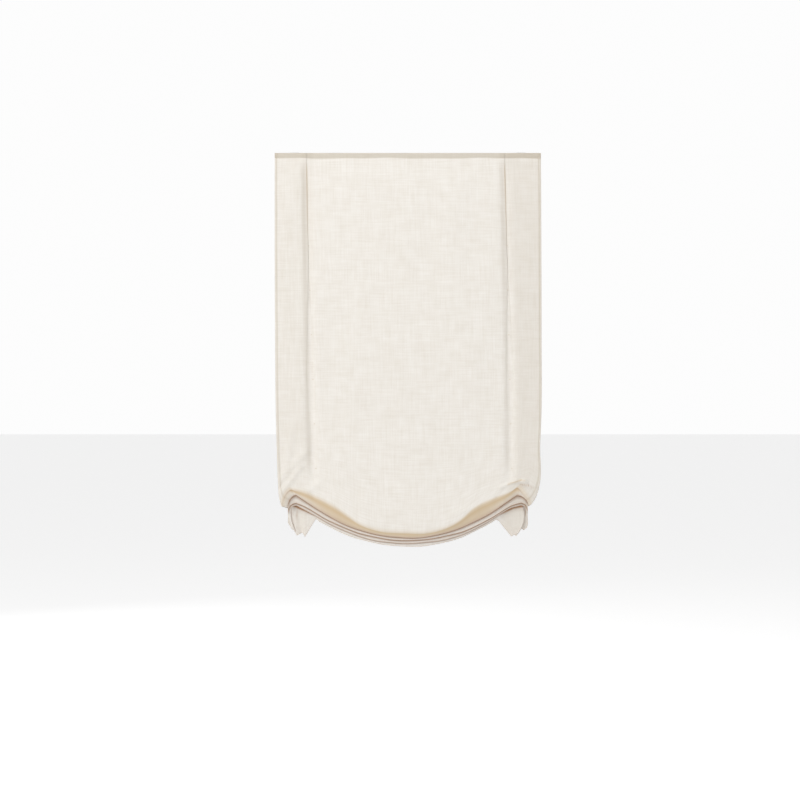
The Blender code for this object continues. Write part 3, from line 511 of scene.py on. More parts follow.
clothShape = {
    "thickness": 0.0007,
    "sideHem": 0.009,
    "hemGap": 0.001,
    "hemStep": 0.0012,
    "bottomHem": 0.024,
    "header": 0.018,
    "headerRows": (0.0, 0.0025, 0.007, 0.012, 0.0150, 0.0165, 0.0180, 0.0205, 0.025, 0.032, 0.042, 0.056),
    "seamBite": [(0.0165, 0.0016, 0.0006), (0.032, 0.011, -0.0014)],  # (drop, width, depth) by the seam
    "panelStart": 0.072,
    "panelRows": 50,
    "bellyRows": 39,
    "middleColumns": 36,
    "outerColumns": 30,
    "pleatX": 0.340,
    "pleatDepth": 0.020,
    "pleatStep": 0.0012,
    "slit": 0.0012,
    "pleatReach": 0.034,  # how far from the slit the soft roll of each pleat edge starts
    "troughHalf": 0.013,  # half width of the floor of an opened pleat
    "opensFrom": 0.25,
    "openBy": 1.02,
    "panelEnd": 1.020,
    "swell": 0.0056,  # how far the panel stands forward of the slits
    "swellWidth": 0.014,
    "swellGrows": 0.10,
    "leanStops": 0.02,
    "bellyOut": (0.0065, 0.0055, 0.82),  # at the sides, more at the middle, and where that ends
    "legStep": 0.0042,
    "tieDrop": 1.150,
    "tieStep": 0.013,
    "tieMiddle": 1.274,
    "tieMiddleStep": 0.0095,
    "tieEar": 0.025,
    "tieTurns": 0.383,
    "earStep": 0.006,
    "stackHalf": 0.413,
    "shadeAbove": 0.003,  # the shade under each lower edge starts above it and ends below it
    "shadeBelow": 0.004,
    "tailMiddle": 0.42,
}

# strengths of the painted shade, as shares of the shade colours in linenLook
paintedShadeTone = {
    # painted shade of layered cloth: over the pleats, in the side hems, at the hem's inner edge, in the
    # header, and the most of all
    "pleat": 0.12,
    "hemCloth": 0.16,
    "hemLine": 0.34,
    "header": 0.58,
    "most": 0.80,
    "slit": 0.5,
    "slitRows": 84,  # rows from the top that the painted shade beside a slit may reach
    "slitFades": 0.30,
    "wallPlace": (0.0125, 0.0085),  # distance inward of the slit, and width, of the painted shade on its wall
    "hemLinePlace": (0.0076, 0.0020),
    # painted warm shade at the ridge and on the under-turned face; painted shade lines past the peak, on the
    # legs and in the bends
    "ridge": 0.40,
    "ridgeWidth": 0.007,
    "under": 0.90,
    "edgeShadeLine": 0.40,
    "edgeLinePlace": (0.006, 0.022),  # distance past the peak, and width
    "peakWidth": 0.075,
    "earWidth": 0.012,
    "leg": 0.75,
    "bend": 0.9,
    "shade": (1.0, 1.0, 0.50, 0.06, 0.20),  # painted shade down the face under each lower edge
    # painted shade under the fold above the hem
    "hem": (0.1, 0.5, 0.9, 0.6, 0.12),
}

# drop of each lower edge at the middle and at the peak, from the front fold to the hem
lowerEdges = [(1.3225, 1.1768), (1.3315, 1.2043), (1.3434, 1.2117), (1.3553, 1.2191)]

sideShape = {
    "left": {
        "peak": 0.3834,
        "backPeak": 0.3830,
        "ear": (0.413, 1.2235),
        "backEar": 1.2350,
        "lean": (-0.0077, 0.0074),
        "tacks": (-0.3415, -0.3160),
        # painted shade on the slit's inner wall and on the zone outside the pleat
        "wallShade": 0.26,
        "outsideShade": 0.08,
        # (drop, half width) of the side edge
        "edge": [
            (0.0, 0.4572), (0.55, 0.4560), (0.986, 0.4510), (1.137, 0.4455), (1.180, 0.4424),
            (1.204, 0.4368), (1.2177, 0.4290), (1.2235, 0.4200), (1.2245, 0.4130),
        ],
        # (distance from the middle, height of the under-turned face) up to the ear
        "under": [
            (0.0, 0.018), (0.10, 0.016), (0.160, 0.023), (0.1986, 0.038), (0.228, 0.047), (0.263, 0.050),
            (0.298, 0.047), (0.330, 0.043), (0.358, 0.032), (0.375, 0.024), (0.390, 0.019), (0.413, 0.009),
        ],
        # (distance from the middle, the lower edges' arch above their parabolas), and each edge's share
        "rise": [(0.170, 0.0), (0.246, 0.0034), (0.281, 0.005), (0.316, 0.008), (0.351, 0.007), (0.383, 0.0)],
        "riseKept": (0.3, 1.0, 0.5, 0.0),
    },
    "right": {
        "peak": 0.3762,
        "backPeak": 0.3890,
        "ear": (0.4150, 1.2150),
        "backEar": 1.2330,
        "lean": (-0.0070, 0.0146),
        "tacks": (0.3405, 0.3570),
        # painted shade on the slit's inner wall and on the zone outside the pleat
        "wallShade": 0.17,
        "outsideShade": 0.18,
        "edge": [
            (0.0, 0.4572), (0.60, 0.4590), (0.917, 0.4580), (1.00, 0.4545), (1.151, 0.4500),
            (1.177, 0.4420), (1.196, 0.4320), (1.2090, 0.4210), (1.2130, 0.4150),
        ],
        "under": [
            (0.0, 0.018), (0.103, 0.014), (0.150, 0.020), (0.189, 0.031), (0.2155, 0.044), (0.248, 0.050),
            (0.284, 0.046), (0.307, 0.041), (0.326, 0.034), (0.347, 0.029), (0.376, 0.0285), (0.383, 0.024),
            (0.392, 0.014), (0.401, 0.006), (0.415, 0.002),
        ],
        "rise": [(0.190, 0.0), (0.249, 0.005), (0.284, 0.0075), (0.326, 0.012), (0.354, 0.012), (0.389, 0.0)],
        "riseKept": (0.25, 1.0, 1.05, 1.1),
    },
}

# soft folds of the panel: start and end as (x, drop), then width and height
softFolds = [
    ((-0.372, 1.085), (-0.432, 1.165), 0.010, 0.0040),
    ((-0.352, 1.030), (-0.438, 1.120), 0.013, 0.0035),
    ((-0.398, 0.960), (-0.420, 1.090), 0.014, 0.0025),
    ((-0.300, 1.130), (-0.345, 1.165), 0.012, 0.0025),
    ((-0.150, 1.155), (-0.152, 1.260), 0.012, 0.0016),
    ((0.322, 1.147), (0.371, 1.127), 0.006, 0.0048),
    ((0.371, 1.127), (0.403, 1.128), 0.006, 0.0060),
    ((0.403, 1.128), (0.440, 1.150), 0.007, 0.0052),
    ((0.385, 1.1395), (0.425, 1.153), 0.004, -0.0022),
    ((0.392, 1.160), (0.425, 1.180), 0.007, 0.0026),
    ((0.370, 1.075), (0.375, 1.100), 0.012, 0.0020),
    ((0.160, 1.240), (0.235, 1.215), 0.010, 0.0022),
]

# painted shade lines on those folds, warm and dark, in the same way: start, end, width and strength
foldShadeLines = {
    "turned": [
        ((0.345, 1.1375), (0.388, 1.1235), 0.0022, 0.60),
        ((0.388, 1.1235), (0.400, 1.1250), 0.0018, 0.35),
    ],
    "creaseShade": [
        ((0.386, 1.1385), (0.413, 1.1415), 0.0022, 0.34),
        ((0.413, 1.1415), (0.430, 1.1500), 0.0022, 0.24),
        ((-0.432, 1.128), (-0.441, 1.150), 0.0020, 0.10),
    ],
}

# the loose corner of the hem: (share of the width, x at its tip, drop at its tip, x below the stack, depth)
tails = {
    "left": [
        (0.770, 0.3180, 1.2600, 0.3180, 0.0),
        (0.845, 0.3546, 1.3211, 0.3570, -0.0010),
        (0.872, 0.3640, 1.3060, 0.3730, 0.0030),
        (0.900, 0.3830, 1.3165, 0.3870, -0.0015),
        (0.922, 0.3900, 1.3040, 0.4010, 0.0030),
        (0.942, 0.3870, 1.3000, 0.4030, -0.0045),
        (0.970, 0.3985, 1.2950, 0.4085, -0.0060),
        (1.000, 0.4135, 1.2715, 0.4130, -0.0030),
    ],
    "right": [
        (0.760, 0.3140, 1.2660, 0.3140, 0.0),
        (0.850, 0.3574, 1.3195, 0.3660, -0.0020),
        (0.880, 0.3680, 1.3130, 0.3900, -0.0030),
        (0.900, 0.3735, 1.3183, 0.4020, -0.0065),
        (0.912, 0.3700, 1.3120, 0.4005, -0.0030),
        (0.928, 0.3850, 1.2855, 0.4030, 0.0040),
        (0.960, 0.4000, 1.2985, 0.4080, 0.0025),
        (0.980, 0.4110, 1.2890, 0.4115, -0.0020),
        (1.000, 0.4145, 1.2760, 0.4135, -0.0010),
    ],
}

# painted shade lines where a tail doubles back: (share of the width, half width, first and last part,
# strength)
tailCreaseShade = {
    "left": [(0.933, 0.008, 0.35, 1.1, 0.95), (0.890, 0.006, 0.35, 0.65, 0.30)],
    "right": [(0.911, 0.008, 0.30, 1.1, 0.95), (0.948, 0.008, 0.30, 0.62, 0.85)],
}


def halfStations():
    # right half, middle outwards: distance when pleated, distance when open, layer of the pleat, doubled hem
    c = clothShape
    lip = (c["slit"] + c["pleatStep"]) / 2
    deep, reach = c["pleatDepth"], c["pleatReach"]
    turn = np.radians(np.linspace(-60, 60, 4))
    nose = 0.5 * np.cos(turn) * c["pleatStep"]

    def run(start, finish, layer, count):
        # even steps on one layer
        return [(d, layer) for d in np.linspace(start, finish, count)]

    def bend(at, outward, first):
        # half round from one layer to the next
        return [(at + outward * n, first + 0.5 + 0.5 * math.sin(a)) for n, a in zip(nose, turn)]

    inner = run(-reach, -lip, 0.0, 11) + bend(-lip, 1, 0.0)
    inner += run(-lip, -deep, 1.0, 5)[1:] + bend(-deep, -1, 1.0) + run(-deep, 0.0, 2.0, 6)[1:]
    pleat = np.array(inner + [(-d, layer) for d, layer in inner[-2::-1]])
    length = lengthAlong(pleat * (1, c["pleatStep"]))
    opened = c["pleatX"] - reach + 2 * reach * length / length[-1]
    middle = np.linspace(0, c["pleatX"] - reach, c["middleColumns"])[:-1]
    edge = c["hemStep"] / 2
    beyond = np.linspace(c["pleatX"] + reach, halfWidth - c["sideHem"] - c["hemGap"], c["outerColumns"])[1:]
    hemTurn = np.radians(np.linspace(-80, 80, 5))
    hemEdge = halfWidth - edge + edge * np.cos(hemTurn)
    hemFront = np.linspace(halfWidth - c["sideHem"], halfWidth - edge, 5)[:-1]
    outer = [beyond, hemFront, hemEdge, hemFront[::-1]]
    folded = np.concatenate([middle, c["pleatX"] + pleat[:, 0], *outer])
    flat = np.concatenate([middle, opened, *outer])
    layer, hem = np.zeros(len(folded)), np.zeros(len(folded))
    layer[len(middle):len(middle) + len(pleat)] = pleat[:, 1]
    hem[-len(hemFront):] = 1
    hem[-len(hemFront) - len(hemEdge):-len(hemFront)] = 0.5 + 0.5 * np.sin(hemTurn)
    return folded, flat, layer, hem


def bothSides(values):
    # the right half and its mirror image, left to right
    return np.concatenate([values[:0:-1], values])


def ofSide(side, pick):
    # each side's own value, for the columns of that side
    return np.where(side < 0, pick(sideShape["left"]), pick(sideShape["right"]))


def bySide(side, name, at):
    # each side's own curve through its points
    return ofSide(side, lambda s: through(s[name], at))


def bell(away, width):
    # exp(-(d / w)^2)
    return np.exp(-((away / width) ** 2))


def edgeDrop(x, side, index):
    # a lower edge: m + (p - m)(x / X)^2 less the arch's rise up to the peak, then p + e (1 - sqrt(1 - t^2))
    c = clothShape
    middle, top = lowerEdges[index]
    peak = ofSide(side, lambda s: s["peak" if index == 0 else "backPeak"])
    inside = middle + (top - middle) * np.clip(x / peak, 0, 1) ** 2
    inside = inside - bySide(side, "rise", x) * ofSide(side, lambda s: s["riseKept"][index])
    if index == 0:
        earX, earDrop = (ofSide(side, lambda s: s["ear"][i]) for i in range(2))
    else:
        earX = c["stackHalf"]
        earDrop = ofSide(side, lambda s: s["backEar"]) + (index - 1) * c["earStep"]
    beyond = np.clip((x - peak) / (earX - peak), 0, 1.0)
    waver = 0.0007 * np.sin(23 * x * side + 2.1 * index) + 0.0005 * np.sin(51 * x * side + 4.0 * index)
    return inside + (earDrop - top) * (1 - np.sqrt(1 - beyond**2)) + waver


def tieDrop(x, row):
    # an upper fold edge: level at the cord, a parabola that sags between the cords, and lower at the ear
    c = clothShape
    tie = c["tieDrop"] + row * c["tieStep"]
    middle = c["tieMiddle"] + row * c["tieMiddleStep"]
    inside = middle + (tie - middle) * np.clip(x / (c["pleatX"] - 0.006), 0, 1) ** 2
    beyond = np.clip((x - c["tieTurns"]) / (c["stackHalf"] - c["tieTurns"]), 0, 1)
    return inside + c["tieEar"] * beyond


def alongLines(x, drop, lines):
    # sum over the lines of h exp(-(d/w)^2), d being the distance to the line, fading past its ends
    total = np.zeros(np.broadcast(x, drop).shape)
    for start, finish, width, height in lines:
        line = np.subtract(finish, start)
        length = np.hypot(*line)
        along = ((x - start[0]) * line[0] + (drop - start[1]) * line[1]) / length
        away = ((x - start[0]) * line[1] - (drop - start[1]) * line[0]) / length
        past = np.maximum(0, np.maximum(-along, along - length))
        total = total + height * bell(away, width) * bell(past, 1.6 * width)
    return total


def panelWaver(x, drop):
    # the slow unevenness of hung cloth: a few long waves, mostly running down
    rng = np.random.default_rng(7)
    total = np.zeros(np.broadcast(x, drop).shape)
    for _ in range(9):
        across, down = rng.uniform(9, 46), rng.uniform(-9, 9)
        total = total + rng.uniform(0.00015, 0.00045) * np.sin(across * x + down * drop + rng.uniform(0, 6.3))
    return total


def clothColumns():
    # what every column across the cloth has of its own, left to right
    c = clothShape
    folded, flat, layer, hem = (bothSides(values) for values in halfStations())
    side = np.concatenate([-np.ones(len(folded) // 2), np.ones(len(folded) - len(folded) // 2)])
    share = flat / halfWidth
    foldX = share * ofSide(side, lambda s: s["ear"][0])
    front = edgeDrop(foldX, side, 0)
    return {
        "side": side,
        "folded": folded,
        "flat": flat,
        "share": share,
        "layer": layer,
        "pleatBack": layer * c["pleatStep"],
        "hemBack": hem * c["hemStep"],
        "trough": 2 * c["pleatStep"] * bell(flat - c["pleatX"], c["troughHalf"]),
        "foldX": foldX,
        "front": front,
        "ridge": front - bySide(side, "under", foldX),
        "stackX": share * c["stackHalf"],
    }


def clothRow(at, x, y, drop, behind=0.0, creaseShade=0.0, turned=0.0, both=0.0):
    # one row across the cloth: x, y, drop, offset behind, then the painted shade values, spread over the
    # columns
    return np.stack(np.broadcast_arrays(x, y, drop, behind, creaseShade, turned, both, at["folded"])[:7])


def leanAt(at, drop, x):
    # sideways lean of the panel, growing out to the pleats and dying out before the side hems
    c = clothShape
    amount = ofSide(at["side"], lambda s: np.interp(drop, (0, c["panelEnd"]), s["lean"]))
    inner = np.clip(x / c["pleatX"], 0, 1)
    outer = np.clip((halfWidth - x) / (halfWidth - c["pleatX"] - c["leanStops"]), 0, 1)
    return amount * inner * outer


def panelRows(at):
    # header and panel: the pleats open down the drop, and y is the swell, the seam's bite and the soft folds
    c, side = clothShape, at["side"]
    rows = []
    even = np.linspace(c["panelStart"], c["panelEnd"], c["panelRows"])
    for drop in np.concatenate([c["headerRows"], even]):
        opening = smoothStep((drop - c["opensFrom"]) / (c["openBy"] - c["opensFrom"]))
        across = at["folded"] + (at["flat"] - at["folded"]) * opening
        x = across * bySide(side, "edge", np.full_like(side, drop)) / halfWidth
        x = x + side * leanAt(at, drop, across)
        grown = smoothStep((drop - c["header"]) / c["swellGrows"])
        swell = c["swell"] * grown * (1 - bell(across - c["pleatX"], c["swellWidth"] * (1 + 0.4 * opening)))
        seam = sum(deep * bell(drop - spot, width) for spot, width, deep in c["seamBite"])
        wave = (panelWaver(side * x, drop) + alongLines(side * x, drop, softFolds)) * grown
        behind = at["pleatBack"] + (at["trough"] - at["pleatBack"]) * opening + at["hemBack"]
        rows.append(clothRow(at, x, -swell + seam - wave, drop, behind))
    return rows


def bellyRows(at):
    # rows bend from level to the line of the ridge, standing forward as 3t^2 - 2t^3
    c, side, share = clothShape, at["side"], at["share"]
    fall = at["ridge"] - c["panelEnd"]
    widest = share == share.max()
    sideFall = np.where(side < 0, fall[widest & (side < 0)][0], fall[widest & (side > 0)][0])
    edgeOut, middleOut, middleHalf = c["bellyOut"]
    bellyOut = edgeOut + middleOut * (1 - np.clip(share / middleHalf, 0, 1) ** 3)
    swell = c["swell"] * (1 - bell(at["flat"] - c["pleatX"], c["swellWidth"] * 1.4))
    lean = side * leanAt(at, c["panelEnd"], at["flat"])
    rows = []
    for part in np.linspace(0, 1, c["bellyRows"] + 1)[1:]:
        drop = c["panelEnd"] + fall * part
        x = share * bySide(side, "edge", c["panelEnd"] + sideFall * part) + lean * (1 - part**2)
        spread = 1 - smoothStep(part / 0.85)
        out = bellyOut * smoothStep(part) + swell * (0.35 + 0.65 * spread)
        wave = panelWaver(side * x, drop) + alongLines(side * x, drop, softFolds)
        # painted warm shade and crease shade along the fold lines, and painted warm shade along the ridge
        tan, dark = (alongLines(side * x, drop, foldShadeLines[kind]) for kind in ("turned", "creaseShade"))
        near = paintedShadeTone["ridge"] * bell((part - 1) * fall, paintedShadeTone["ridgeWidth"])
        behind = at["trough"] * spread + at["hemBack"]
        rows.append(clothRow(at, x, -out - wave, drop, behind, dark, near + tan))
    return rows


def bendRows(at, x, y, drop, way, tones, angles=(20, 55, 90, 125, 160)):
    # half round of a fold: y + r (1 - cos a), drop + way r (1 - sin a), a painted shade for its first and
    # second half
    radius = clothShape["legStep"] / 2
    return [
        clothRow(
            at, x, y + radius * (1 - math.cos(angle)), drop + way * radius * (1 - math.sin(angle)),
            at["hemBack"], tones[int(angle > 1.6)],
        )
        for angle in np.radians(angles)
    ]


def frontFoldRows(at, last):
    # the face that turns under, from the ridge's row back and down to the front fold
    tone, foldX, ridge = paintedShadeTone, at["foldX"], at["ridge"]
    radius = clothShape["legStep"] / 2
    fromPeak = foldX - ofSide(at["side"], lambda s: s["peak"])
    # painted shade: a line past the peak, and warm shade on the under-turned face, lighter near the peak and
    # fading over the ear
    past, width = tone["edgeLinePlace"]
    paler = 0.25 + 0.50 * bell(fromPeak, tone["peakWidth"])
    outer = 1 - 0.65 * smoothStep(fromPeak / tone["earWidth"])
    edgeShadeLine = tone["edgeShadeLine"] * bell(fromPeak - past, width)
    rows = []
    for part in (0.12, 0.3, 0.5, 0.7, 0.86, 0.95):
        x = last[0] + (foldX - last[0]) * part
        y = last[1] * (1 - part) ** 1.15 - 0.0012 * math.sin(math.pi * part)
        drop = ridge + (at["front"] - radius - ridge) * part
        turned = tone["under"] * smoothStep((part + 0.12) / 0.34)
        turned = turned * (1 - paler * smoothStep((part - 0.25) / 0.5)) * outer
        line = edgeShadeLine if part < 0.2 else 0.25 * part**4
        rows.append(clothRow(at, x, y, drop, at["hemBack"], line, turned))
    halfway = foldX + (at["stackX"] - foldX) * 0.5
    return rows + bendRows(at, halfway, 0.0, at["front"], -1, (0.55, tone["bend"]))


def stackRows(at):
    # each fold behind the front one: a leg up to its tie, then a leg down to the next lower edge
    c, tone, x = clothShape, paintedShadeTone, at["stackX"]
    radius = c["legStep"] / 2
    rows, lower = [], at["front"]
    for fold in range(3):
        up = (2 * fold + 1) * c["legStep"]
        upper = tieDrop(x, fold)
        start, finish = lower - radius, upper + radius
        for part in np.linspace(0.08, 0.92, 4):
            drop = start + (finish - start) * part
            # painted shade on the leg, darkest near the lower edge
            rows.append(clothRow(at, x, up, drop, at["hemBack"], tone["leg"] * bell(lower - drop, 0.02)))
        rows += bendRows(at, x, up, upper, 1, (0.0, 0.0), (0, 36, 72, 108, 144, 180))
        above = edgeDrop(x, at["side"], fold)
        if fold < 2:
            lower = edgeDrop(x, at["side"], fold + 1)
            down = up + c["legStep"]
            # painted shade down the face under the edge above, darkest just under it
            shade = above - c["shadeAbove"]
            for part in (0.3, 0.6):
                drop = finish + (shade - finish) * part
                rows.append(clothRow(at, x, down, drop, at["hemBack"], 0.5 * part))
            stops = [shade, above + 0.0006, above + 0.0030, (above + lower) / 2 + 0.001, lower - radius]
            for drop, creaseShade in zip(stops, tone["shade"]):
                drop = np.clip(drop, finish, lower - radius * 0.9)
                rows.append(clothRow(at, x, down, drop, at["hemBack"], creaseShade))
            rows += bendRows(at, x, down, lower, -1, (0.50, tone["bend"]))
    return rows, upper, above


def hemRows(at, upper, above):
    # the last layer: the hem between the cords and the loose tails outside them, turned up behind
    c, side, share, x, hemBack = clothShape, at["side"], at["share"], at["stackX"], at["hemBack"]
    hemX, hemDrop, hemWave, midX = tailEdge(side, share, x)
    double = 3 * c["hemStep"]
    height = hemDrop - upper
    roll = double / 2 / height
    shadeTop = (above - c["shadeAbove"] - upper) / height
    shadeEnd = (above + c["shadeBelow"] - upper) / height
    hemTop = np.maximum((height - c["bottomHem"]) / height, 0.3)

    def hang(part, behind, creaseShade):
        # x is the quadratic through the fold above, the tail's place below the stack (part m) and the hem
        t, m = np.clip(part, 0, 1), c["tailMiddle"]
        across = x * (t - m) * (t - 1) / m + midX * t * (1 - t) / (m * (1 - m)) + hemX * t * (t - m) / (1 - m)
        # painted shade lines where a tail doubles back, on both faces of the cloth
        dark = np.zeros_like(x)
        for key, sign in sides.items():
            for spot, half, first, final, strength in tailCreaseShade[key]:
                line = strength * bell(share - spot, half) * (side == sign)
                dark = dark + line * smoothStep((part - first) / 0.12) * smoothStep((final - part) / 0.12)
        dark = np.clip(dark, 0, 1)
        y, drop = 6 * c["legStep"] + hemWave * t**1.1, upper + height * part
        return clothRow(at, across, y, drop, behind, np.maximum(creaseShade, dark), both=dark)

    # painted shade under the fold above, then faint painted shade down the hem and at its roll
    stations = [0.15 * shadeTop, 0.5 * shadeTop, shadeTop, (shadeTop + shadeEnd) / 2, shadeEnd]
    rows = [hang(part, hemBack, creaseShade) for part, creaseShade in zip(stations, paintedShadeTone["hem"])]
    for part in np.linspace(0, 1, 9)[1:]:
        rows.append(hang(shadeEnd + (1 - roll - shadeEnd) * part, hemBack, 0.10 * part**3))
    for angle in np.radians((35, 90, 145)):
        behind = hemBack + (double - 2 * hemBack) / 2 * (1 - math.cos(angle))
        rows.append(hang(1 - roll * (1 - math.sin(angle)), behind, 0.25))
    for part in np.linspace(0, 1, 5)[1:]:
        rows.append(hang(1 - roll + (hemTop - 1 + roll) * part, double - hemBack, 0.0))
    return rows


def tailEdge(side, share, x):
    # the hem's line: the last swag between the cords, and each side's own points outside them
    inside = edgeDrop(x, side, 3)
    points = {key: np.array(tails[key]).T for key in sides}
    left, right = ([np.interp(share, points[key][0], row) for row in points[key][1:]] for key in sides)
    tipX, tipDrop, midX, wave = (np.where(side < 0, one, two) for one, two in zip(left, right))
    begin = np.where(side < 0, tails["left"][0][0], tails["right"][0][0])
    tail = share >= begin
    blendIn = smoothStep((share - begin + 0.03) / 0.03)
    hemDrop = np.where(tail, tipDrop, inside + (tipDrop - inside) * blendIn)
    return np.where(tail, tipX, x), hemDrop, np.where(tail, wave, 0.0), np.where(tail, midX, x)


def paintedClothShade(at, x, drop):
    # painted shade: tan where the cloth lies double, beside a slit and outside the pleats, and the thin line
    # of each slit, by distance
    c, tone, side, folded = clothShape, paintedShadeTone, at["side"], at["folded"]
    closed = 1 - smoothStep((drop - c["opensFrom"]) / 0.35)
    overPleat = np.exp(-(((folded - c["pleatX"]) / (1.05 * c["pleatDepth"])) ** 6)) * closed
    inHem = np.clip((folded - (halfWidth - c["sideHem"])) / 0.0015, 0, 1) ** 0.5
    inHem = inHem * (1 - 0.5 * smoothStep((drop - 1.05) / 0.1))
    inset, width = tone["hemLinePlace"]
    hemLine = bell(folded - halfWidth + inset, width)
    world = side * x
    toSlit = np.abs(folded - c["pleatX"]) + np.abs(at["layer"] - 2)
    left, right = (int(np.argmin(toSlit + 9 * (side != sign))) for sign in (-1, 1))
    fromSlit = world - np.where(side < 0, world[:, [left]], world[:, [right]])
    onPanel = (np.arange(len(x)) < tone["slitRows"])[:, None] * smoothStep((drop - 0.02) / 0.05)
    onPanel = onPanel * (1 - smoothStep((drop - 1.04) / 0.09))
    inset, width = tone["wallPlace"]
    # painted shade on the slit's inner wall, and the painted shade line of the slit itself
    wall = ofSide(side, lambda s: s["wallShade"]) * bell(fromSlit + inset, width) * onPanel
    slitShadeLine = tone["slit"] * bell(fromSlit + 0.0008, 0.0018) * onPanel
    slitShadeLine = slitShadeLine * (1 - smoothStep((drop - 0.08) / tone["slitFades"]))
    seam = c["header"] + 0.0012 * np.sin(17 * world) + 0.0010 * np.sin(41 * world + 1.0)
    inHeader = 1 - smoothStep((drop - seam + 0.0015) / 0.003)
    outside = smoothStep((side * fromSlit - 0.002) / 0.03) * ofSide(side, lambda s: s["outsideShade"])
    parts = (overPleat, inHem, hemLine, inHeader)
    layerShade = sum(tone[name] * part for name, part in zip(("pleat", "hemCloth", "hemLine", "header"), parts))
    return np.clip(layerShade + outside + wall, 0, tone["most"]), slitShadeLine


def makeCloth():
    # the grid of rows and columns, offset along its section's normal, then given its thickness
    c, at = clothShape, clothColumns()
    rows = panelRows(at) + bellyRows(at)
    rows += frontFoldRows(at, rows[-1])
    stack, upper, above = stackRows(at)
    last = hemRows(at, upper, above)
    x, y, drop, behind, creaseShade, turned, both = np.stack(rows + stack + last, axis=1)
    z = clothTop - drop
    alongY, alongZ = np.gradient(y, axis=0), np.gradient(z, axis=0)
    length = np.maximum(np.hypot(alongY, alongZ), 0.00002)
    normalY, normalZ = -alongZ / length, alongY / length
    normalY[-len(last):] = 1.0
    normalZ[-len(last):] = 0.0
    y = y + behind * normalY
    z = z + behind * normalZ
    points = np.stack([at["side"] * x, y, z], axis=-1)
    down = lengthAlong(points[:, x.shape[1] // 2, 1:])
    across = lengthAlong(np.stack([at["side"] * at["folded"], at["pleatBack"]], axis=1))
    uv = np.stack(np.broadcast_arrays(across[None], down[:, None]), axis=-1)
    layerShade, slitShadeLine = paintedClothShade(at, x, drop)
    # painted shade for the linen materials: layers, warm shade with the slit lines, creases, and the tails'
    # lines on both faces
    values = {
        "layerShade": layerShade,
        "turned": np.maximum(turned, 0.9 * slitShadeLine),
        "creaseShade": np.maximum(creaseShade, 0.3 * slitShadeLine),
        "bothSides": both,
    }
    faces = gridFaces(*x.shape)
    obj = meshObject("clothPanel", points, faces.tolist(), finish["linenBack"], uv, values)
    obj.data.materials.append(finish["linen"])
    wall = obj.modifiers.new("clothThickness", "SOLIDIFY")
    wall.thickness = c["thickness"]
    wall.offset = 0
    wall.material_offset = wall.material_offset_rim = 1
    place(obj, "root", "linen", "shade_fabric")
    print("cloth:", x.shape, "points", 4 * len(faces), "triangles")
    return points


clothPoints = makeCloth()


# Seams: thread laid in short arches along a path on the cloth

seamLook = {
    "thread": 0.00018,  # radius of the sewing thread
    "stitch": 0.0030,
    "spacing": 0.0042,
    "rise": 0.00022,
    "steps": 6,
    "round": 5,
    "hemInset": 0.0072,
    "hemRows": slice(3, 98),
    "tackDrops": (0.3185, 1.0835),  # of the first and the last tack on the panel
    "tackHalf": 0.0026,
    "tackStep": 0.00055,
    "tackRadius": 0.0003,
}


def stitchPaths(path, outward):
    # stitch k covers lengths k s to k s + l of the path, and lies off it by rise sin(pi u)
    s = seamLook
    length = lengthAlong(path)
    begin = np.arange(s["spacing"] / 2, length[-1] - s["spacing"], s["spacing"])
    u = np.linspace(0, 1, s["steps"])
    at = begin[:, None] + s["stitch"] * u
    points = np.stack([np.interp(at, length, path[:, i]) for i in range(3)], axis=-1)
    return points + (s["rise"] * np.sin(math.pi * u))[None, :, None] * np.asarray(outward, float)


def rowAt(drop):
    # index of the panel's grid row nearest to a drop, read down the middle
    rows = len(clothShape["headerRows"]) + clothShape["panelRows"]
    return int(np.argmin(np.abs(clothTop - clothPoints[:rows, clothPoints.shape[1] // 2, 2] - drop)))


def frontAt(x, z):
    # the foremost y of the panel and the belly near one place
    c = clothShape
    front = clothPoints[: len(c["headerRows"]) + c["panelRows"] + c["bellyRows"]]
    near = (np.abs(front[..., 0] - x) < 0.004) & (np.abs(front[..., 2] - z) < 0.014)
    return front[..., 1][near].min()


def frontLine(points):
    # the foremost y of the cloth near each x, on a row of the grid
    at = np.linspace(points[:, 0].min() + 0.002, points[:, 0].max() - 0.002, 360)
    near = np.abs(points[None, :, 0] - at[:, None]) < 0.0065
    y = np.where(near, points[None, :, 1], 1.0).min(axis=1)
    return np.stack([at, y, np.interp(at, points[::3, 0], points[::3, 2])], axis=1)


def makeSeams():
    # header seam, both side hems and the bottom hem, front side
    half = clothShape["thickness"] / 2
    forward = (0, -1, 0)
    header = frontLine(clothPoints[rowAt(clothShape["header"])]) - (0, half, 0)
    paths = [stitchPaths(header, forward)]
    middle = clothPoints.shape[1] // 2
    foldedHalf, _, _, hem = halfStations()
    inset = int(np.argmin(np.abs(foldedHalf - halfWidth + seamLook["hemInset"]) + 9 * (hem > 0)))
    for sign in (-1, 1):
        edge = clothPoints[seamLook["hemRows"], middle + sign * inset] - (0, half, 0)
        paths.append(stitchPaths(edge, forward))
    hemLine = clothPoints[-1, 12:-12:2] - (0, 3 * clothShape["hemStep"] + half, 0)
    paths.append(stitchPaths(hemLine, forward))
    rings = tubeSurface(np.concatenate(paths), seamLook["thread"], seamLook["round"])
    place(sweptObject("seamStitches", rings, finish["thread"]), "root", "linen")


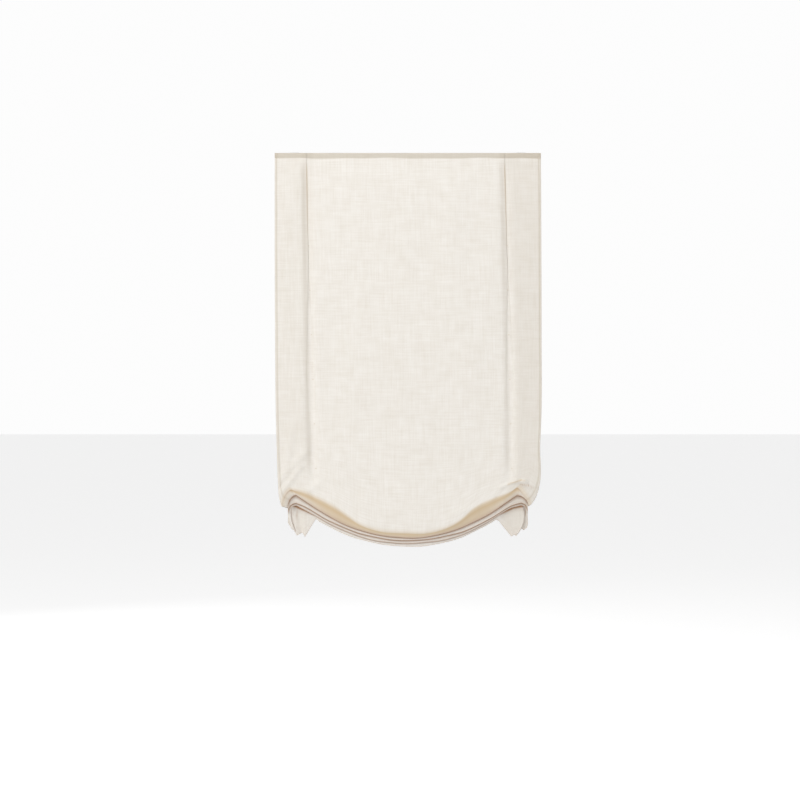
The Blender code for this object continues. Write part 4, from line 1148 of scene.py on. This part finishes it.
def makeTacks():
    # strands over the slit at each ring: x = m + w (2u - 1), y bowed forward by a sine, one over another
    c = seamLook
    u = np.linspace(0, 1, 9)
    strands = []
    for name in sides:
        for index in range(1, 7):
            drop = clothTop - boxMiddle(f"ring_{name}_{index}")[2]
            middle = np.interp(drop, c["tackDrops"], sideShape[name]["tacks"])
            front = frontAt(middle, clothTop - drop) - clothShape["thickness"] / 2
            for strand in range(4):
                height = (strand - 1.5) * c["tackStep"]
                x = middle + (c["tackHalf"] - 0.0002 * strand) * (2 * u - 1)
                y = front - 0.0001 - 0.0006 * np.sin(math.pi * u)
                z = clothTop - drop + height + 0.0002 * (2 * u - 1) * (-1) ** strand
                strands.append(np.stack([x, y, z], axis=-1))
    rings = tubeSurface(np.array(strands), c["tackRadius"], 7)
    place(sweptObject("ringTacks", rings, finish["thread"]), "root", "linen")


# Rings, cords and what they run over

liftLook = {
    "ringRadius": 0.0055,
    "ringWire": 0.0012,
    "ringTilt": 32.87,  # degrees, of the three rings that lie on the folds
    "cordRadius": 0.0009,
    "knotRadius": 0.00075,
    "wrapRadius": 0.0092,
    "cordX": 0.340,
    "windingStart": 0.0019,
    "windingPitch": 0.001404,
    "windingTurns": 8,
    "windingHalf": 0.00066,  # half width of a turn pressed against its neighbours
    "barrel": 0.008,
    "flange": 0.011,
    "flangeWidth": 0.0015,
    "journal": 0.005,
    "journalLength": 0.004,
    "bore": 0.0038,
}


def makeRings():
    # the middle of the wire: C + R (cos a X + sin a T), with T tilted on the folds
    c = liftLook
    angle = np.linspace(0, 2 * math.pi, 40, endpoint=False)[:, None]
    nodes = [f"ring_{name}_{index}" for name in sides for index in range(1, 10)]
    tilts = [math.radians(c["ringTilt"]) * (int(node[-1]) > 6) for node in nodes]
    across = [np.array([0, math.cos(tilt), math.sin(tilt)]) for tilt in tilts]
    paths = [
        boxMiddle(node) + c["ringRadius"] * (np.cos(angle) * (1, 0, 0) + np.sin(angle) * tip)
        for node, tip in zip(nodes, across)
    ]
    rings = tubeSurface(np.array(paths), c["ringWire"], 14, closed=True)
    place(sweptObject("shadeRings", rings, finish["milky"], closed=True), "root", "clear", *nodes)
    print("rings:", len(nodes))


def cordPoints(name, sign):
    # from the top of the spool round its front, down through every ring and the eye of the bar
    c = liftLook
    spool = boxMiddle("cord_spool_" + name)
    turn = np.radians(np.linspace(90, 180, 8))
    start = np.stack(
        [
            np.full(len(turn), sign * c["cordX"]),
            spool[1] + c["wrapRadius"] * np.cos(turn),
            spool[2] + c["wrapRadius"] * np.sin(turn),
        ],
        axis=1,
    )
    down = np.array([boxMiddle(f"ring_{name}_{index}") for index in range(1, 10)])
    low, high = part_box("cord_adjuster_" + name)
    stop = boxMiddle("cord_adjuster_" + name)
    end = np.array([[stop[0], stop[1], high[2] + 0.006], [stop[0], stop[1], low[2] - 0.0012]])
    return np.concatenate([start, down, end])


def makeCords():
    # each cord is a smooth run of even steps, with an overhand knot and a short end under its stop
    c = liftLook
    thick = c["knotRadius"]
    runs, knots = [], []
    turn = np.linspace(0, 2 * math.pi, 60)
    for name, sign in sides.items():
        points = cordPoints(name, sign)
        runs.append(smoothPath(points, 360))
        knot = np.stack(
            [
                thick * (np.sin(turn) + 1.6 * np.sin(2 * turn)),
                thick * (np.cos(turn) - 1.6 * np.cos(2 * turn)),
                -0.0009 * np.sin(3 * turn) - 0.0018,
            ],
            axis=1,
        )
        knots.append(points[-1] + knot)
    rings = tubeSurface(np.array(runs), c["cordRadius"], 10)
    cords = sweptObject("liftCords", rings, finish["braid"])
    place(cords, "root", "cord", "lift_cord_left", "lift_cord_right")
    rings = tubeSurface(np.array(knots)[:, :-1], thick, 9, closed=True)
    place(sweptObject("cordKnots", rings, finish["braid"], closed=True), "root", "cord")


def flangedOutline(bore, journal, flange, barrel, end, rim, inner):
    # half of a flanged drum's outline as (radius, distance along the axis), then its mirror image
    half = [(bore, -end), (journal, -end), (journal, -rim)]
    half += [(flange, -rim), (flange, -inner), (barrel, -inner)]
    return half + [(r, -d) for r, d in half[::-1]]


def makeSpools():
    # the barrel's outline turned round the shaft, and the cord's helix x = s + p a / 2 pi on it
    c = liftLook
    for name in sides:
        low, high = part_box("cord_spool_" + name)
        middle = boxMiddle("cord_spool_" + name)
        end = (high[0] - low[0]) / 2
        rim = end - c["journalLength"]
        radii = (c["bore"], c["journal"], c["flange"], c["barrel"])
        outline = flangedOutline(*radii, end, rim, rim - c["flangeWidth"])
        spool = latheObject("cordSpool_" + name, roundedProfile(outline, 0.0005), middle, finish["moulded"])
        place(spool, "lift_shaft_body", "plastic", "cord_spool_" + name)
        angle = np.linspace(0, 2 * math.pi * c["windingTurns"], 44 * c["windingTurns"])
        section = np.linspace(0, 2 * math.pi, 12, endpoint=False)
        radius = c["wrapRadius"] + c["cordRadius"] * np.cos(section)
        along = c["windingStart"] + c["windingPitch"] * angle[:, None] / (2 * math.pi)
        x = along + c["windingHalf"] * np.sin(section)[None]
        turn = math.pi / 2 - angle[:, None]
        y, z = middle[1] + radius * np.cos(turn), middle[2] + radius * np.sin(turn)
        rings = np.stack(np.broadcast_arrays(middle[0] + x, y, z), axis=-1)[None]
        winding = sweptObject("cordWinding_" + name, rings, finish["braid"])
        place(winding, "lift_shaft_body", "cord", "cord_winding_" + name)


motorLook = {
    "outputBarrel": 0.0045,
    "outputFlange": 0.0076,
    "storageBarrel": 0.0035,
    "storageFlange": 0.0072,
    "storageJournal": 0.0022,
    "drumHalf": 0.015,
    "flangeWidth": 0.0012,
    "bore": 0.0038,
    "outputBuild": (0.0048, 0.0057),
    "storageBuild": (0.0038, 0.0060),
    "outputTurns": 4,
    "storageTurns": 9,
    "strip": 0.00012,
    "stripHalf": 0.0144,
}


def makeMotor():
    # two turned drums and the strip: a spiral r(a) on each, joined by a straight run that crosses
    c = motorLook
    output, storage = boxMiddle("output_drum"), boxMiddle("storage_drum")
    end = boxSize("output_drum")[0] / 2
    shape = (end, c["drumHalf"] + c["flangeWidth"], c["drumHalf"])
    outline = flangedOutline(c["bore"], c["outputBarrel"], c["outputFlange"], c["outputBarrel"], *shape)
    drum = latheObject("outputDrum", roundedProfile(outline, 0.0004), output, finish["moulded"])
    place(drum, "lift_shaft_body", "plastic", "output_drum")
    outline = flangedOutline(0.0, c["storageJournal"], c["storageFlange"], c["storageBarrel"], *shape)
    drum = latheObject("storageDrum", roundedProfile(outline, 0.0004), storage, finish["moulded"])
    place(drum, "storage_drum_body", "plastic", "storage_drum")
    (outIn, outOut), (storeIn, storeOut) = c["outputBuild"], c["storageBuild"]
    lean = math.asin((outOut + storeOut) / (storage[1] - output[1]))
    leave = math.pi / 2 - lean
    part = np.linspace(0, 1, 44 * c["outputTurns"])
    turn = leave + 2 * math.pi * c["outputTurns"] * (1 - part)
    radius = outIn + (outOut - outIn) * part
    first = np.stack([output[1] + radius * np.cos(turn), output[2] + radius * np.sin(turn)], axis=1)
    part = np.linspace(0, 1, 44 * c["storageTurns"])
    turn = leave + math.pi + 2 * math.pi * c["storageTurns"] * part
    radius = storeOut + (storeIn - storeOut) * part
    last = np.stack([storage[1] + radius * np.cos(turn), storage[2] + radius * np.sin(turn)], axis=1)
    crossing = first[-1] + (last[0] - first[-1]) * np.linspace(0, 1, 8)[1:-1, None]
    path = np.concatenate([first, crossing, last])
    ahead = np.gradient(path, axis=0)
    ahead /= np.linalg.norm(ahead, axis=1, keepdims=True)
    side = np.stack([ahead[:, 1], -ahead[:, 0]], axis=1) * c["strip"] / 2
    corners = [(-1, 1), (1, 1), (1, -1), (-1, -1)]
    rings = np.stack(
        [
            np.concatenate([np.full((len(path), 1), c["stripHalf"] * x), path + side * n], axis=1)
            for x, n in corners
        ],
        axis=1,
    )[None]
    strip = sweptObject("springStrip", rings, finish["strip"], sharp=40)
    place(strip, "root", "spring", "spring_band")


def makeBar():
    # the rod, and the stops turned from a grooved outline: r(z) = r0 - g sin^2
    half = boxSize("spreader_bar")[0] / 2
    outline = [(0, -half), (0.004, -half), (0.004, half), (0, half)]
    profile = roundedProfile(outline, 0.0006)
    rod = latheObject("spreaderRod", profile, boxMiddle("spreader_bar"), finish["rod"], 32)
    place(rod, "root", "steel", "spreader_bar")
    for name in sides:
        node = "cord_adjuster_" + name
        end = boxSize(node)[2] / 2
        z = np.linspace(-end, end, 45)
        share = z / end
        outer = 0.0035 + 0.0015 * (smoothStep((share + 1) / 0.6) - smoothStep((share - 0.4) / 0.6))
        grip = 0.00035 * np.sin(6 * math.pi * share) ** 2 * (np.abs(share) < 0.5)
        profile = np.stack([outer - grip, z], axis=1)
        profile = np.concatenate([[(0.0013, -end)], profile, [(0.0013, end)]])
        stop = latheObject("cordStop_" + name, profile, boxMiddle(node), finish["moulded"], 40, along="z")
        place(stop, "root", "plastic", node)


makeSeams()
makeTacks()
makeRings()
makeCords()
makeSpools()
makeMotor()
makeBar()
print("seams, rings, cords and hardware made")


# The finishes of the nodes that stay

nodeFinish = {
    "linen": "linen",
    "tape": "loops",
    "painted": "enamel",
    "plastic": "moulded",
    "clear": "milky",
    "steel": "rod",
    "spring": "strip",
    "cord": "braid",
}


def finishNodes():
    # each node's slots take the material of its record slot
    slots = {row["node"]: row["material_slot"] for row in frame["record"]["subparts"]}
    for name, obj in frame["nodes"].items():
        material = finish["hooks"] if name == "hook_tape" else finish[nodeFinish[slots[name]]]
        for slot in obj.material_slots:
            slot.material = material


finishNodes()
print("finishes set on the frame's nodes")


# Stage, light and camera

stageLook = {
    "floor": -2.15,
    "reach": 60.0,
    "floorGlow": 0.30,  # what the camera sees beyond the floor's own light
    "roomLight": 0.60,
    "roomGlow": 0.38,
    # spot, aim, size, power and colour
    "lights": {
        "keyLight": ((-3.6, -2.6, 0.6), (0, 0, -0.7), (1.6, 2.2), 64.0, (1.0, 0.985, 0.96)),
        "fillLight": ((2.6, -4.5, -0.2), (0, 0, -0.7), (3.0, 3.0), 36.0, (1, 1, 1)),
        "topLight": ((0.3, -1.2, 3.2), (0, 0.6, -0.8), (3.0, 2.0), 46.0, (1, 1, 1)),
        "backLight": ((-2.4, 4.0, 0.6), (0, 0, -0.7), (2.4, 2.4), 30.0, (1, 1, 1)),
    },
}


def makeStage():
    # a level pale floor, open all round, well below the hem
    along = np.linspace(-stageLook["reach"], stageLook["reach"], 25)
    points = np.stack(np.broadcast_arrays(along[None], along[:, None], stageLook["floor"]), axis=-1)
    material, tree, shader = newMaterial("paleFloor", 0.9)
    grain = groupNode(tree, grainGroup, coordinates(tree, "Object"), Scale=2.0)
    color = mixColor(tree, grain.outputs["Tone"], (0.95, 0.95, 0.95), (0.98, 0.98, 0.98))
    tree.links.new(color, shader.inputs["Base Color"])
    seen = tree.nodes.new("ShaderNodeLightPath").outputs["Is Camera Ray"]
    shader.inputs["Emission Color"].default_value = (1, 1, 1, 1)
    glow = mathNode(tree, "MULTIPLY", seen, stageLook["floorGlow"])
    tree.links.new(glow, shader.inputs["Emission Strength"])
    meshObject("paleFloor", points, gridFaces(len(along), len(along)).tolist(), material)


def areaLight(name, spot, aim, size, power, color):
    # a rectangle of light that the camera doesn't see, turned from its spot to its aim
    data = bpy.data.lights.new(name, "AREA")
    data.shape = "RECTANGLE"
    data.size, data.size_y = size
    data.energy = power
    data.color = color
    obj = bpy.data.objects.new(name, data)
    obj.location = spot
    toward = np.array(aim) - np.array(spot)
    flat = math.hypot(toward[0], toward[1])
    obj.rotation_euler = (math.atan2(flat, -toward[2]), 0, math.atan2(-toward[0], toward[1]))
    obj.visible_camera = False
    bpy.context.scene.collection.objects.link(obj)


def makeLight():
    # even light from all round, seen as white, and the area lights
    world = bpy.data.worlds.new("softRoom")
    world.use_nodes = True
    tree = world.node_tree
    tree.nodes["Background"].inputs["Color"].default_value = (1, 1, 1, 1)
    seen = tree.nodes.new("ShaderNodeLightPath").outputs["Is Camera Ray"]
    strength = mathNode(tree, "MULTIPLY_ADD", seen, stageLook["roomGlow"], stageLook["roomLight"])
    tree.links.new(strength, tree.nodes["Background"].inputs["Strength"])
    bpy.context.scene.world = world
    for name, values in stageLook["lights"].items():
        areaLight(name, *values)


def makeCamera():
    # level and square to the cloth, its frame set by the photo's scale
    v = photoView
    data = bpy.data.cameras.new("photoCamera")
    data.sensor_width = v["sensor"]
    data.lens = v["sensor"] * v["distance"] / (v["size"] * v["pixel"])
    camera = bpy.data.objects.new("photoCamera", data)
    middle = v["size"] / 2
    camera.location = (
        (middle - v["middlePixel"]) * v["pixel"],
        -v["distance"],
        clothTop - (middle - v["topPixel"]) * v["pixel"],
    )
    camera.rotation_euler = (math.pi / 2, 0, 0)
    bpy.context.scene.collection.objects.link(camera)
    bpy.context.scene.camera = camera


makeStage()
makeLight()
makeCamera()
bpy.context.scene.view_settings.view_transform = "Standard"
print("stage, light and camera made")
